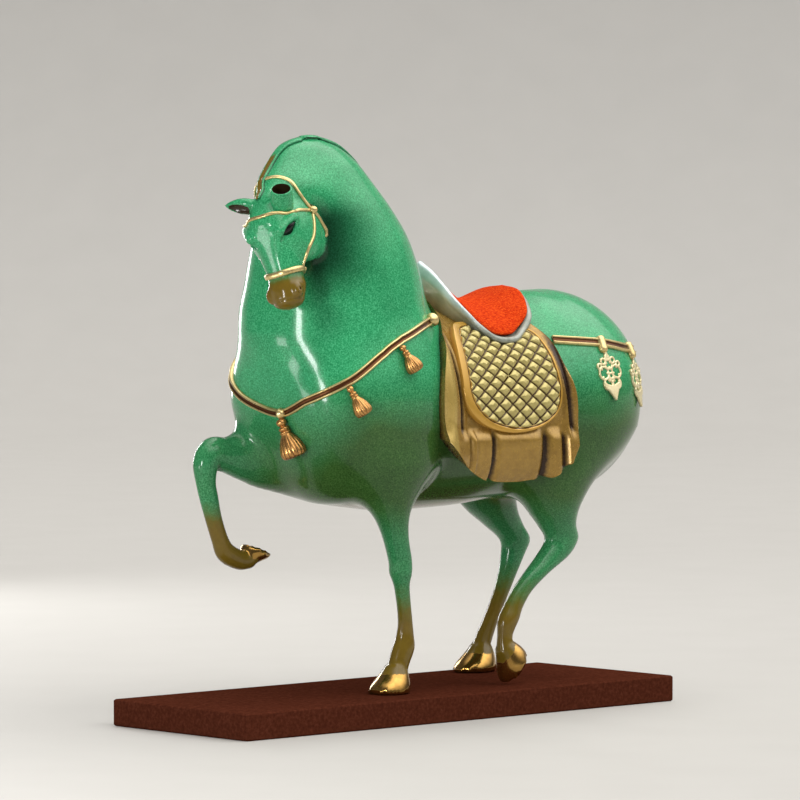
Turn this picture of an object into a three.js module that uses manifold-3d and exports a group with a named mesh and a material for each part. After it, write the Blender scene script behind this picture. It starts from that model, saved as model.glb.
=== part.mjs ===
// A Tang style horse in tack, stepping on a slab plinth, in millimetres.
// +Z is up, the horse looks towards -X and its left side faces -Y.
// The origin is the middle of the plinth's underside.
import * as THREE from "three";
import { mergeVertices } from "three/addons/utils/BufferGeometryUtils.js";
import Module from "manifold-3d";

const wasm = await Module();
wasm.setup();

// Plinth: a plain slab with its top edges eased.
const PLINTH = { length: 360, depth: 124, height: 16.5, bevel: 0.9 };
const SEAT_GAP = 0.3; // the pieces rest this far apart
const GROUND = PLINTH.height + SEAT_GAP;

// Skin of the horse.
const SKIN_CELL = 3.4;
const HORSE_TRIANGLES = 3800;

// Trunk, cut across at stations along x: x, middle y, middle z, half width, half height.
const TRUNK = [
  [-58, 0, 189, 54, 55],
  [-20, 2, 187, 57, 59],
  [30, 2, 188, 59, 60],
  [70, 0, 190, 60, 59],
  [100, 0, 195.5, 62.5, 65.5],
  [121, 0, 196.5, 63, 66.5],
];
const TRUNK_ENDS = [40, 67]; // how far the chest and the rump round off past the end stations

// Neck, cut across at heights: z, middle x, middle y, half length, half width.
const NECK = [
  [172, -44, 0, 34, 32],
  [200, -50, 0, 51, 46],
  [228, -55, 0, 60, 53],
  [250, -56, 0, 60.5, 54],
  [268, -57, -2, 58, 51],
  [286, -60, -4, 54, 47],
  [301, -64, -6, 50, 42],
  [317, -72, -9, 45, 35],
  [331, -79, -11, 39, 28],
  [343, -84, -13, 32, 21],
  [352, -87, -14, 23, 14],
  [356.6, -88, -14.5, 15, 8],
  [359, -88.5, -14.7, 6.5, 3.6],
];

// Muscles laid over the trunk: middle, radii, and how far they melt into it.
const MUSCLES = [
  { name: "right breast", middle: [-80, 24, 199], radii: [25, 28, 28], melt: 22 },
  { name: "left breast", middle: [-76, -24, 196], radii: [26, 30, 32], melt: 22 },
  { name: "left shoulder", middle: [-42, -24, 196], radii: [36, 34, 52], melt: 20 },
  { name: "right shoulder", middle: [-50, 22, 192], radii: [36, 34, 50], melt: 20 },
];

// Standing legs, cut across at heights: z, middle x, middle y, half length, half width.
const LEFT_FORE = [
  [33, -27, -28, 6.8, 6.2],
  [44, -23, -28.5, 7.6, 6.2],
  [52, -22, -29, 5.8, 5],
  [63, -23, -30, 4.7, 4.2],
  [82, -26.5, -31, 5, 4.8],
  [91, -28, -31.5, 7.2, 7],
  [99, -29, -32, 7.6, 7.2],
  [115, -35, -34, 8.8, 8],
  [129, -40, -36, 12.6, 11],
  [143, -42, -37, 19.5, 15.5],
  [158, -42, -37, 27, 19],
  [175, -44, -30, 34, 20],
];
const LEFT_HIND = [
  [38, 59, -34, 6, 6],
  [47, 58.5, -34, 5, 4.8],
  [57, 61.5, -34, 7.4, 6],
  [65, 65.5, -34, 7.2, 5.6],
  [75, 72.5, -35, 7.8, 5.2],
  [85.5, 84, -36, 9.8, 6.2],
  [96, 98.5, -36, 13, 7.4],
  [106, 106, -36, 12.4, 8.6],
  [115, 101, -37, 13.4, 11],
  [125, 96.5, -38, 18, 15],
  [138, 96, -38, 26, 20],
  [152, 100, -36, 35, 25],
  [176, 112, -28, 52, 30],
];
const RIGHT_HIND = [
  [32, 109.5, 42, 6.4, 6],
  [41, 114, 42, 6, 5.2],
  [51, 119.5, 42, 5.4, 4.8],
  [63, 126, 42, 5.6, 4.8],
  [75, 132, 42, 6.2, 5.4],
  [90, 138, 42, 8.4, 7],
  [100, 140, 42, 11.2, 8.4],
  [110, 130, 42, 14.5, 10.5],
  [120, 119, 41, 18.5, 14],
  [131, 112, 40, 23, 18],
  [146, 112, 38, 34, 23],
  [172, 118, 28, 50, 30],
];
// The raised leg, joint by joint: x, y, z, half depth, half width.
const RIGHT_FORE = [
  [-62, 28, 172, 30, 22],
  [-82, 32, 163, 21, 17],
  [-98, 33, 163, 16, 13],
  [-115, 33, 164.5, 11, 9.6],
  [-125, 33, 165.5, 10, 9],
  [-130.5, 33, 159, 8.4, 7.6],
  [-130.5, 33, 148, 6.4, 6],
  [-128, 33, 138, 6, 5.6],
  [-124.5, 33, 126, 5.4, 5],
  [-119.5, 33, 113, 5.4, 5],
  [-114.5, 33, 104.5, 6.4, 5.8],
  [-104, 33, 99.5, 6.2, 5.8],
  [-97, 33, 99.5, 6.2, 6],
];
// The bound tail, joint by joint in the same way.
const TAIL = [
  [172, 3, 213, 9, 9],
  [184, 4, 209, 7, 7.5],
  [190, 5, 201, 6, 7],
  [191, 6, 191, 5.4, 6.4],
  [190, 7, 181, 4.6, 5],
  [190, 8, 173, 3.2, 3.4],
];
// The mane ridge: from the forehead over the crest.
const MANE = [
  [-141, -25.6, 321.8, 1.8, 2],
  [-134, -22, 325.5, 2.1, 2.4],
  [-125.5, -16.6, 334.8, 2.3, 2.6],
  [-115, -14, 346, 2.4, 2.8],
  [-104, -14, 353.5, 2.4, 2.8],
  [-89, -14, 357.5, 2.4, 2.8],
  [-73, -13, 353.5, 2.4, 2.8],
  [-60, -12, 345, 2.4, 2.6],
  [-50, -11.5, 336, 2, 2],
];

// Hooves: the toe and the heel of the sole, and the hoof's height and half width.
const HOOVES = [
  { name: "left fore", toe: [-48.5, -28, GROUND], heel: [-21, -28, GROUND], height: 15.5, half: 12.5 },
  { name: "right fore", toe: [-80, 33, 101], heel: [-99, 33, 108.8], height: 9, half: 9 },
  { name: "left hind", toe: [58, -34, GROUND + 0.4], heel: [73, -34, 38], height: 14, half: 10.5 },
  { name: "right hind", toe: [88, 42, GROUND], heel: [119, 42, GROUND], height: 15.5, half: 12.5 },
];

// Head, in its own frame: down the face, forwards, and out to the horse's left, from the poll.
const HEAD = { poll: [-132.2, -25, 324.3], turn: 18, tuck: -3, lean: 15 };
// Skull stations down the face: down, forwards, half depth, half width.
const SKULL = [
  [6, -6, 13, 13],
  [14, -4, 17, 16.2],
  [25, -4, 17.6, 17],
  [38, -4.5, 14.6, 13.2],
  [50, -3.5, 11.6, 10.6],
  [58, -3, 11.4, 11.2],
  [66, -1.5, 9.4, 9.6],
];
const SKULL_ENDS = [9, 5.2];
const FACE = [
  { name: "cheek", middle: [24, -17, 11], radii: [19, 19, 8], melt: 6 },
  { name: "brow", middle: [22, 6.5, 13.5], radii: [5.5, 6, 4.5], melt: 4 },
];
// The nose is planed flat from between the eyes to the muzzle: down the face and forwards at either end.
const NOSE = { top: [24, 12.6], foot: [52, 7.4] };
// The left ear is a short cup that looks up and forwards, and the right ear a leaf held out to the side.
const CUP = { root: [9.6, 1.8, 10.4], aim: [-0.7, 0.56, 0.44], length: 12.5, radius: 6.6, hollow: 5.2 };
const LEAF = { root: [5.4, 2.5, -8], aim: [-0.26, 0.24, -0.94], length: 19, radius: 5.6, point: 0.6 };
// The poll joins the crest of the neck to the skull.
const POLL = { middle: [-110, -20, 326], radii: [21, 17, 14], melt: 14 };

// Saddle rim from pommel to cantle: turn from the front, x, half spread, z.
const RIM = [
  [0, 17.5, 0, 280],
  [20, 18.5, 10, 274],
  [35, 20, 19, 266],
  [50, 24, 27, 256],
  [62, 27, 35, 248],
  [75, 31, 41, 241],
  [90, 40, 46, 234],
  [115, 55, 46, 233.5],
  [135, 65, 42, 238],
  [150, 77, 35.5, 247.5],
  [166, 87, 18, 259],
  [180, 90, 0, 262],
];
const SADDLE = { middle: [50, 0, 256], rim: 2.5, lining: 0.92, steps: 36, shell: 8 };
const SEAT = { pad: 2.6 };

// Saddle cloth: edges against the turn from the top of the back (degrees), and the hem against x.
const CLOTH_EDGES = [
  [0, 6, 72],
  [30, 3, 76],
  [48, -10, 81.5],
  [66, -18, 84],
  [84, -22, 88.5],
  [104, -19, 89],
  [136, -16, 89],
];
const CLOTH_HEM = [
  [-20, 104],
  [-12, 110],
  [-3, 117],
  [8, 122.5],
  [20, 126.5],
  [46, 127.5],
  [60, 126],
  [70, 123.5],
  [78, 119.5],
  [84, 114.5],
  [90, 107],
];
// How far the cloth stands over the skin, how deep its folds are, and how far it swings out at the hem.
const CLOTH = { thick: 3.2, across: 22, around: 16, bury: 2.5, fold: 3.4, swing: 8 };

// Saddle flaps: turn from the top of the back where they start and end, middle x, half widths, quilting.
const FLAP = {
  from: 36,
  to: 104.5,
  middle: 37,
  narrow: 31,
  wide: 38.5,
  corner: 80,
  thick: 2.2,
  border: 1.1,
  dome: 1.3,
  rows: 14,
};

// Straps: a band's width and height over the skin, how far it reaches round, and its height against the turn.
const BAND = { width: 4.4, high: 2.2, bury: 1.5 };
const BREAST = {
  middle: [-45, 0],
  reach: 126,
  bead: 11,
  drop: [
    [-126, 248],
    [-100, 243.5],
    [-75, 236],
    [-50, 222],
    [-27, 205],
    [-8, 195],
    [11, 191.5],
    [27, 199],
    [50, 211.5],
    [70, 227.5],
    [84, 236],
    [106, 243],
    [126, 246.5],
  ],
};
const CRUPPER = {
  middle: [100, 0],
  reach: 106,
  drop: [
    [0, 221],
    [44, 225.2],
    [68, 229.8],
    [106, 232.3],
  ],
};
const TASSELS = [
  { name: "tassel_front", turn: 11.2, long: 23, wide: 7.8 },
  { name: "tassel_left_1", turn: 49, long: 16, wide: 5.4 },
  { name: "tassel_left_2", turn: 81.5, long: 15.5, wide: 5.2 },
  { name: "tassel_right_1", turn: -55, long: 16, wide: 5.4 },
  { name: "tassel_right_2", turn: -88, long: 15.5, wide: 5.2 },
];
// Openwork pendants on the crupper: a scalloped plate pierced by five round holes.
const PENDANT = { turns: [68, 43, -43, -68], wide: 11, tall: 28, thick: 2, ring: 3.2, stand: 1.6 };
const PENDANT_NAMES = ["pendant_left", "pendant_left_rear", "pendant_right_rear", "pendant_right"];

const radians = THREE.MathUtils.degToRad;

// Joins two distances with a rounded seam of the given reach.
function melt(a, b, reach) {
  const h = Math.max(reach - Math.abs(a - b), 0) / reach;
  return Math.min(a, b) - (h * h * reach) / 4;
}

// Roughly how far a point is outside an ellipsoid about the origin.
function outside(x, y, z, rx, ry, rz) {
  const far = Math.hypot(x / rx, y / ry, z / rz);
  const steep = Math.hypot(x / (rx * rx), y / (ry * ry), z / (rz * rz));
  return steep < 1e-9 ? -Math.min(rx, ry, rz) : (far * (far - 1)) / steep;
}

function ellipsoid([cx, cy, cz], [rx, ry, rz]) {
  return (x, y, z) => outside(x - cx, y - cy, z - cz, rx, ry, rz);
}

// A smooth curve through the rows' values, t counting the rows.
function through(rows, t) {
  const last = rows.length - 1;
  const i = Math.min(Math.max(Math.floor(t), 0), last - 1);
  const f = Math.min(Math.max(t - i, 0), 1);
  const before = rows[Math.max(i - 1, 0)];
  const after = rows[Math.min(i + 2, last)];
  return rows[i].map((from, k) => {
    const to = rows[i + 1][k];
    const leave = (to - before[k]) / (i === 0 ? 1 : 2);
    const arrive = (after[k] - from) / (i === last - 1 ? 1 : 2);
    const f2 = f * f;
    const f3 = f2 * f;
    return (
      (2 * f3 - 3 * f2 + 1) * from +
      (f3 - 2 * f2 + f) * leave +
      (3 * f2 - 2 * f3) * to +
      (f3 - f2) * arrive
    );
  });
}

// A body cut across at stations along one axis. A station is: place along the axis, the middle on the two
// other axes, and the two half sizes. The ends round off past the first and last station.
function stack(stations, ends, fine = 24) {
  const low = stations[0][0];
  const high = stations[stations.length - 1][0];
  const rows = [];
  const count = (stations.length - 1) * fine;
  for (let i = 0; i <= count; i++) rows.push(through(stations, i / fine));
  const table = [];
  const steps = 400;
  for (let i = 0, r = 0; i <= steps; i++) {
    const place = low + ((high - low) * i) / steps;
    while (r < rows.length - 2 && rows[r + 1][0] < place) r++;
    const f = (place - rows[r][0]) / (rows[r + 1][0] - rows[r][0]);
    table.push(rows[r].map((v, k) => v + f * (rows[r + 1][k] - v)));
  }
  return (along, across, up) => {
    const t = Math.min(Math.max((along - low) / (high - low), 0), 1) * steps;
    const i = Math.min(Math.floor(t), steps - 1);
    const f = t - i;
    const a = table[i];
    const b = table[i + 1];
    const past = along < low ? along - low : along > high ? along - high : 0;
    const end = past < 0 ? ends[0] : ends[1];
    const mid1 = a[1] + f * (b[1] - a[1]);
    const mid2 = a[2] + f * (b[2] - a[2]);
    return outside(past, across - mid1, up - mid2, end, a[3] + f * (b[3] - a[3]), a[4] + f * (b[4] - a[4]));
  };
}

// A limb: an oval tube through joints, each x, y, z, half depth (in the walking direction) and half width.
function limb(joints, fine = 6) {
  const rows = [];
  const count = (joints.length - 1) * fine;
  for (let i = 0; i <= count; i++) rows.push(through(joints, i / fine));
  const line = rows.map((r) => new THREE.Vector3(r[0], r[1], r[2]));
  const aims = line.map((_, i) =>
    line[Math.min(i + 1, count)].clone().sub(line[Math.max(i - 1, 0)]).normalize(),
  );
  const box = new THREE.Box3().setFromPoints(line);
  const widest = Math.max(...rows.map((r) => Math.max(r[3], r[4])));
  return (x, y, z) => {
    const ox = Math.max(box.min.x - x, 0, x - box.max.x);
    const oy = Math.max(box.min.y - y, 0, y - box.max.y);
    const oz = Math.max(box.min.z - z, 0, z - box.max.z);
    const away = Math.hypot(ox, oy, oz) - widest;
    if (away > 25) return away;
    let nearest = Infinity;
    let at = 0;
    let share = 0;
    for (let i = 0; i < count; i++) {
      const p = line[i];
      const q = line[i + 1];
      const dx = q.x - p.x;
      const dy = q.y - p.y;
      const dz = q.z - p.z;
      const t = Math.min(
        Math.max(((x - p.x) * dx + (y - p.y) * dy + (z - p.z) * dz) / (dx * dx + dy * dy + dz * dz), 0),
        1,
      );
      const gx = x - p.x - t * dx;
      const gy = y - p.y - t * dy;
      const gz = z - p.z - t * dz;
      const gap = gx * gx + gy * gy + gz * gz;
      if (gap < nearest) {
        nearest = gap;
        at = i;
        share = t;
      }
    }
    const a = rows[at];
    const b = rows[at + 1];
    const mix = (k) => a[k] + share * (b[k] - a[k]);
    const depth = mix(3);
    const width = mix(4);
    const gx = x - mix(0);
    const gy = y - mix(1);
    const gz = z - mix(2);
    const aim = aims[at];
    const next = aims[at + 1];
    let tx = aim.x + share * (next.x - aim.x);
    let ty = aim.y + share * (next.y - aim.y);
    let tz = aim.z + share * (next.z - aim.z);
    const size = Math.hypot(tx, ty, tz);
    tx /= size;
    ty /= size;
    tz /= size;
    const along = gx * tx + gy * ty + gz * tz;
    // The sideways axis is the horse's left, squared to the limb.
    let sx = ty * tx;
    let sy = ty * ty - 1;
    let sz = ty * tz;
    const flat = Math.hypot(sx, sy, sz);
    sx /= flat;
    sy /= flat;
    sz /= flat;
    const side = gx * sx + gy * sy + gz * sz;
    const front = gx - along * tx - side * sx;
    const frontY = gy - along * ty - side * sy;
    const frontZ = gz - along * tz - side * sz;
    return outside(along, side, Math.hypot(front, frontY, frontZ), (depth + width) / 2, width, depth);
  };
}

// A hoof on its sole from toe to heel: the wall slopes back from the toe and the sole is flat.
function hoof({ toe, heel, height, half }) {
  const back = new THREE.Vector3(...heel).sub(new THREE.Vector3(...toe));
  const reach = back.length() / 2;
  back.normalize();
  const side = new THREE.Vector3(0, 1, 0);
  const up = new THREE.Vector3().crossVectors(back, side).normalize();
  if (up.z < 0 && Math.abs(back.z) < 0.2) up.negate();
  if (Math.abs(back.z) >= 0.2) up.multiplyScalar(up.x > 0 ? -1 : 1);
  const middle = new THREE.Vector3(...toe).addScaledVector(back, reach);
  const wall = stack(
    [
      [0, 0, 0, reach, half],
      [height * 0.35, reach * 0.13, 0, reach * 0.9, half * 0.93],
      [height * 0.75, reach * 0.32, 0, reach * 0.66, half * 0.72],
      [height, reach * 0.4, 0, reach * 0.5, half * 0.56],
    ],
    [3, 3],
  );
  return (x, y, z) => {
    const gx = x - middle.x;
    const gy = y - middle.y;
    const gz = z - middle.z;
    const h = gx * up.x + gy * up.y + gz * up.z;
    const b = gx * back.x + gy * back.y + gz * back.z;
    return Math.max(wall(h, b, gy), -h);
  };
}

const trunk = stack(TRUNK, TRUNK_ENDS);
const neck = stack(NECK, [20, 1]);
const muscles = MUSCLES.map((m) => ({ reach: m.melt, field: ellipsoid(m.middle, m.radii) }));
const standing = [LEFT_FORE, LEFT_HIND, RIGHT_HIND].map((stations) => stack(stations, [5, 18]));
const raised = limb(RIGHT_FORE);
const tail = limb(TAIL);
const mane = limb(MANE);
const hooves = HOOVES.map(hoof);

// The head's own axes: down the face, forwards out of the face, and out to the horse's left.
const headDown = new THREE.Vector3(0, 0, -1);
const headForward = new THREE.Vector3(-Math.cos(radians(HEAD.turn)), -Math.sin(radians(HEAD.turn)), 0);
const headLeft = new THREE.Vector3(Math.sin(radians(HEAD.turn)), -Math.cos(radians(HEAD.turn)), 0);
for (const v of [headDown, headForward]) v.applyAxisAngle(headLeft, radians(HEAD.tuck));
for (const v of [headDown, headLeft]) v.applyAxisAngle(headForward, radians(HEAD.lean));

const skull = stack(SKULL.map(([down, ahead, deep, wide]) => [down, ahead, 0, deep, wide]), SKULL_ENDS);
const face = FACE.map((m) => ({ reach: m.melt, field: ellipsoid(m.middle, m.radii) }));
const leafAim = new THREE.Vector3(...LEAF.aim).normalize();

// A leaf-shaped ear: fullest in its middle and drawn to a point.
function leafField(u, v, w) {
  const eu = u - LEAF.root[0];
  const ev = v - LEAF.root[1];
  const ew = w - LEAF.root[2];
  const along = eu * leafAim.x + ev * leafAim.y + ew * leafAim.z;
  const share = Math.min(Math.max(along / LEAF.length, 0), 1);
  const fat = Math.max(LEAF.radius * Math.sin(Math.PI * (0.28 + 0.72 * share)) ** 0.8, LEAF.point);
  const aside = Math.hypot(eu - along * leafAim.x, ev - along * leafAim.y, ew - along * leafAim.z);
  return Math.hypot(aside, along - share * LEAF.length) - fat;
}

function headField(x, y, z) {
  const gx = x - HEAD.poll[0];
  const gy = y - HEAD.poll[1];
  const gz = z - HEAD.poll[2];
  const u = gx * headDown.x + gy * headDown.y + gz * headDown.z;
  const v = gx * headForward.x + gy * headForward.y + gz * headForward.z;
  const w = gx * headLeft.x + gy * headLeft.y + gz * headLeft.z;
  const away = Math.hypot(u - 35, v, w) - 62;
  if (away > 20) return away;
  let d = skull(u, v, w);
  for (const part of face) d = melt(d, part.field(u, v, Math.abs(w)), part.reach);
  const slope = (NOSE.foot[1] - NOSE.top[1]) / (NOSE.foot[0] - NOSE.top[0]);
  const before = (v - NOSE.top[1] - slope * (u - NOSE.top[0])) / Math.hypot(1, slope);
  if (u > NOSE.top[0] - 4 && u < NOSE.foot[0] + 4) d = -melt(-d, -before, 1.6);
  return melt(d, leafField(u, v, w), 2.5);
}

// A place in the head's own frame, as a place in the row.
function fromHead([u, v, w]) {
  const place = new THREE.Vector3(...HEAD.poll);
  return place.addScaledVector(headDown, u).addScaledVector(headForward, v).addScaledVector(headLeft, w);
}

const poll = ellipsoid(POLL.middle, POLL.radii);

// The whole casting: below zero inside the horse.
function horseField(x, y, z) {
  let d = melt(trunk(x, y, z), neck(z, x, y), 30);
  for (const part of muscles) d = melt(d, part.field(x, y, z), part.reach);
  d = melt(d, poll(x, y, z), POLL.melt);
  for (const leg of standing) d = melt(d, leg(z, x, y), 14);
  d = melt(d, raised(x, y, z), 14);
  d = melt(d, tail(x, y, z), 5);
  for (const part of hooves) d = Math.min(d, part(x, y, z));
  d = melt(d, headField(x, y, z), 6);
  return melt(d, mane(x, y, z), 1.2);
}

// The six tetrahedra of a cube, as corner numbers with x, y and z in bits 0, 1 and 2.
const CUBE_TETS = [
  [0, 1, 3, 7],
  [0, 3, 2, 7],
  [0, 2, 6, 7],
  [0, 6, 4, 7],
  [0, 4, 5, 7],
  [0, 5, 1, 7],
];

// Walks a grid over the box and returns the surface where the field is zero, as shared points and triangles.
function traceSkin(field, low, high, cell) {
  const count = low.map((v, i) => Math.ceil((high[i] - v) / cell) + 1);
  const [nx, ny, nz] = count;
  const values = new Float32Array(nx * ny * nz).fill(1e3);
  const block = 4;
  const reach = cell * block * 1.05 * Math.sqrt(3);
  const live = new Uint8Array(Math.ceil(nx / block) * Math.ceil(ny / block) * Math.ceil(nz / block));
  const number = (i, j, k) => i + nx * (j + ny * k);
  const place = (axis, i) => low[axis] + i * cell;
  let b = 0;
  for (let k = 0; k < nz; k += block)
    for (let j = 0; j < ny; j += block)
      for (let i = 0; i < nx; i += block, b++) {
        const mid = [i, j, k].map((v, axis) => place(axis, v + block / 2));
        const d = field(...mid);
        live[b] = Math.abs(d) < reach ? 1 : 0;
        const sign = d < 0 ? -1e3 : 1e3;
        for (let c = k; c < Math.min(k + block, nz); c++)
          for (let e = j; e < Math.min(j + block, ny); e++)
            for (let a = i; a < Math.min(i + block, nx); a++)
              values[number(a, e, c)] = live[b] ? field(place(0, a), place(1, e), place(2, c)) : sign;
      }
  const points = [];
  const faces = [];
  const known = new Map();
  const pointOn = (p, q) => {
    const [one, two] = p < q ? [p, q] : [q, p];
    const key = one * nx * ny * nz + two;
    if (known.has(key)) return known.get(key);
    const steps = (n) => [n % nx, Math.floor(n / nx) % ny, Math.floor(n / (nx * ny))];
    const spot = (n) => steps(n).map((v, axis) => place(axis, v));
    let [a, c] = [spot(one), spot(two)];
    let [da, dc] = [values[one], values[two]];
    let at = a;
    for (let pass = 0; pass < 3; pass++) {
      const t = Math.min(Math.max(da / (da - dc), 0.04), 0.96);
      at = a.map((v, axis) => v + t * (c[axis] - v));
      const d = field(...at);
      if (d < 0 === da < 0) [a, da] = [at, d];
      else [c, dc] = [at, d];
    }
    points.push(at);
    known.set(key, points.length - 1);
    return points.length - 1;
  };
  for (let k = 0; k < nz - 1; k++)
    for (let j = 0; j < ny - 1; j++)
      for (let i = 0; i < nx - 1; i++) {
        const eight = [0, 1, 2, 3, 4, 5, 6, 7];
        const corner = eight.map((n) => number(i + (n & 1), j + ((n >> 1) & 1), k + (n >> 2)));
        const inside = corner.map((n) => values[n] < 0);
        const some = inside.filter((v) => v).length;
        if (some === 0 || some === 8) continue;
        for (const tet of CUBE_TETS) {
          const ins = tet.filter((n) => inside[n]);
          const outs = tet.filter((n) => !inside[n]);
          if (!ins.length || !outs.length) continue;
          // An odd number of swapped corners turns the face over.
          const order = [...ins, ...outs].map((n) => tet.indexOf(n));
          let swaps = 0;
          for (let a = 0; a < 4; a++) {
            for (let c = a + 1; c < 4; c++) {
              if (order[a] > order[c]) swaps++;
            }
          }
          const flip = swaps % 2 === 1;
          const at = (p, q) => pointOn(corner[p], corner[q]);
          const add = (a, c, e) => faces.push(flip ? [a, e, c] : [a, c, e]);
          if (ins.length === 1) add(at(ins[0], outs[0]), at(ins[0], outs[1]), at(ins[0], outs[2]));
          else if (ins.length === 3) add(at(ins[0], outs[0]), at(ins[1], outs[0]), at(ins[2], outs[0]));
          else {
            const [p, q] = [at(ins[0], outs[0]), at(ins[0], outs[1])];
            const [r, s] = [at(ins[1], outs[1]), at(ins[1], outs[0])];
            add(p, q, r);
            add(p, r, s);
          }
        }
      }
  return { points, faces };
}

// Thins a closed mesh to about the asked number of triangles.
// It always closes up the edge that changes the shape least.
function thin({ points, faces }, wanted) {
  const n = points.length;
  const spot = points.map((p) => [...p]);
  const face = faces.map((f) => [...f]);
  const alive = new Uint8Array(face.length).fill(1);
  const around = Array.from({ length: n }, () => new Set());
  const stamp = new Uint32Array(n);
  const sums = Array.from({ length: n }, () => new Float64Array(10));
  const normalOf = (a, b, c) => {
    const ux = b[0] - a[0];
    const uy = b[1] - a[1];
    const uz = b[2] - a[2];
    const vx = c[0] - a[0];
    const vy = c[1] - a[1];
    const vz = c[2] - a[2];
    return [uy * vz - uz * vy, uz * vx - ux * vz, ux * vy - uy * vx];
  };
  face.forEach((f, i) => {
    const normal = normalOf(...f.map((v) => spot[v]));
    const size = Math.hypot(...normal);
    for (const v of f) around[v].add(i);
    if (size < 1e-12) return;
    const [a, b, c] = normal.map((v) => v / size);
    const p = spot[f[0]];
    const d = -(a * p[0] + b * p[1] + c * p[2]);
    const plane = [a * a, a * b, a * c, a * d, b * b, b * c, b * d, c * c, c * d, d * d];
    for (const v of f) plane.forEach((q, k) => (sums[v][k] += q * size));
  });
  const costAt = (q, [x, y, z]) =>
    q[0] * x * x + 2 * q[1] * x * y + 2 * q[2] * x * z + 2 * q[3] * x + q[4] * y * y +
    2 * q[5] * y * z + 2 * q[6] * y + q[7] * z * z + 2 * q[8] * z + q[9];
  // The best single point for two that close up, and what it costs.
  const close = (i, j) => {
    const q = sums[i].map((v, k) => v + sums[j][k]);
    const [a, b, c, d, e, f, g, h, k] = q;
    const det = a * (e * h - f * f) - b * (b * h - f * c) + c * (b * f - e * c);
    const middle = spot[i].map((v, axis) => (v + spot[j][axis]) / 2);
    let best = middle;
    const scale = (a + e + h) / 3;
    if (Math.abs(det) > 1e-4 * scale * scale * scale) {
      const x = -(d * (e * h - f * f) - b * (g * h - f * k) + c * (g * f - e * k)) / det;
      const y = -(a * (g * h - k * f) - d * (b * h - f * c) + c * (b * k - g * c)) / det;
      const z = -(a * (e * k - g * f) - b * (b * k - g * c) + d * (b * f - e * c)) / det;
      const reach = Math.hypot(...spot[i].map((v, axis) => v - spot[j][axis]));
      if (Math.hypot(x - middle[0], y - middle[1], z - middle[2]) < reach * 1.5) best = [x, y, z];
    }
    const length = Math.hypot(...spot[i].map((v, axis) => v - spot[j][axis]));
    return { at: best, cost: Math.max(costAt(q, best), 0) + 1e-4 * length * length };
  };
  const heap = [];
  const push = (item) => {
    let i = heap.push(item) - 1;
    while (i > 0) {
      const up = (i - 1) >> 1;
      if (heap[up].cost <= item.cost) break;
      heap[i] = heap[up];
      i = up;
    }
    heap[i] = item;
  };
  const pop = () => {
    const top = heap[0];
    const last = heap.pop();
    if (heap.length) {
      let i = 0;
      for (;;) {
        let child = 2 * i + 1;
        if (child >= heap.length) break;
        if (child + 1 < heap.length && heap[child + 1].cost < heap[child].cost) child++;
        if (heap[child].cost >= last.cost) break;
        heap[i] = heap[child];
        i = child;
      }
      heap[i] = last;
    }
    return top;
  };
  const offer = (i, j) => push({ i, j, si: stamp[i], sj: stamp[j], ...close(i, j) });
  const neighbours = (v) => {
    const near = new Set();
    for (const f of around[v]) for (const w of face[f]) if (w !== v) near.add(w);
    return near;
  };
  for (let i = 0; i < n; i++) for (const j of neighbours(i)) if (i < j) offer(i, j);
  let left = face.length;
  while (left > wanted && heap.length) {
    const { i, j, si, sj, at } = pop();
    if (stamp[i] !== si || stamp[j] !== sj) continue;
    const nearI = neighbours(i);
    const nearJ = neighbours(j);
    const shared = [...nearI].filter((v) => nearJ.has(v));
    if (shared.length !== 2) continue;
    const turns = (v, other) => {
      for (const f of around[v]) {
        if (face[f].includes(other)) continue;
        const before = normalOf(...face[f].map((w) => spot[w]));
        const after = normalOf(...face[f].map((w) => (w === v ? at : spot[w])));
        const dot = before[0] * after[0] + before[1] * after[1] + before[2] * after[2];
        if (dot < 0.35 * Math.hypot(...before) * Math.hypot(...after)) return true;
      }
      return false;
    };
    if (turns(i, j) || turns(j, i)) continue;
    for (const f of [...around[j]]) {
      if (face[f].includes(i)) {
        alive[f] = 0;
        left--;
        for (const w of face[f]) around[w].delete(f);
      } else {
        face[f] = face[f].map((w) => (w === j ? i : w));
        around[i].add(f);
      }
    }
    around[j].clear();
    stamp[j] = 0xffffffff;
    stamp[i]++;
    spot[i] = at;
    sums[i] = sums[i].map((v, k) => v + sums[j][k]);
    for (const v of neighbours(i)) offer(i, v);
  }
  const number = new Map();
  const kept = [];
  const out = [];
  face.forEach((f, k) => {
    if (!alive[k]) return;
    out.push(
      f.map((v) => {
        if (!number.has(v)) {
          number.set(v, kept.length);
          kept.push(spot[v]);
        }
        return number.get(v);
      }),
    );
  });
  return { points: kept, faces: out };
}

// A closed solid from points and faces.
function solid(points, faces) {
  const build = (list) =>
    new wasm.Manifold(
      new wasm.Mesh({
        numProp: 3,
        vertProperties: new Float32Array(points.flat()),
        triVerts: new Uint32Array(list.flat()),
      }),
    );
  const made = build(faces);
  return made.volume() < 0 ? build(faces.map(([a, b, c]) => [a, c, b])) : made;
}

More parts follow.
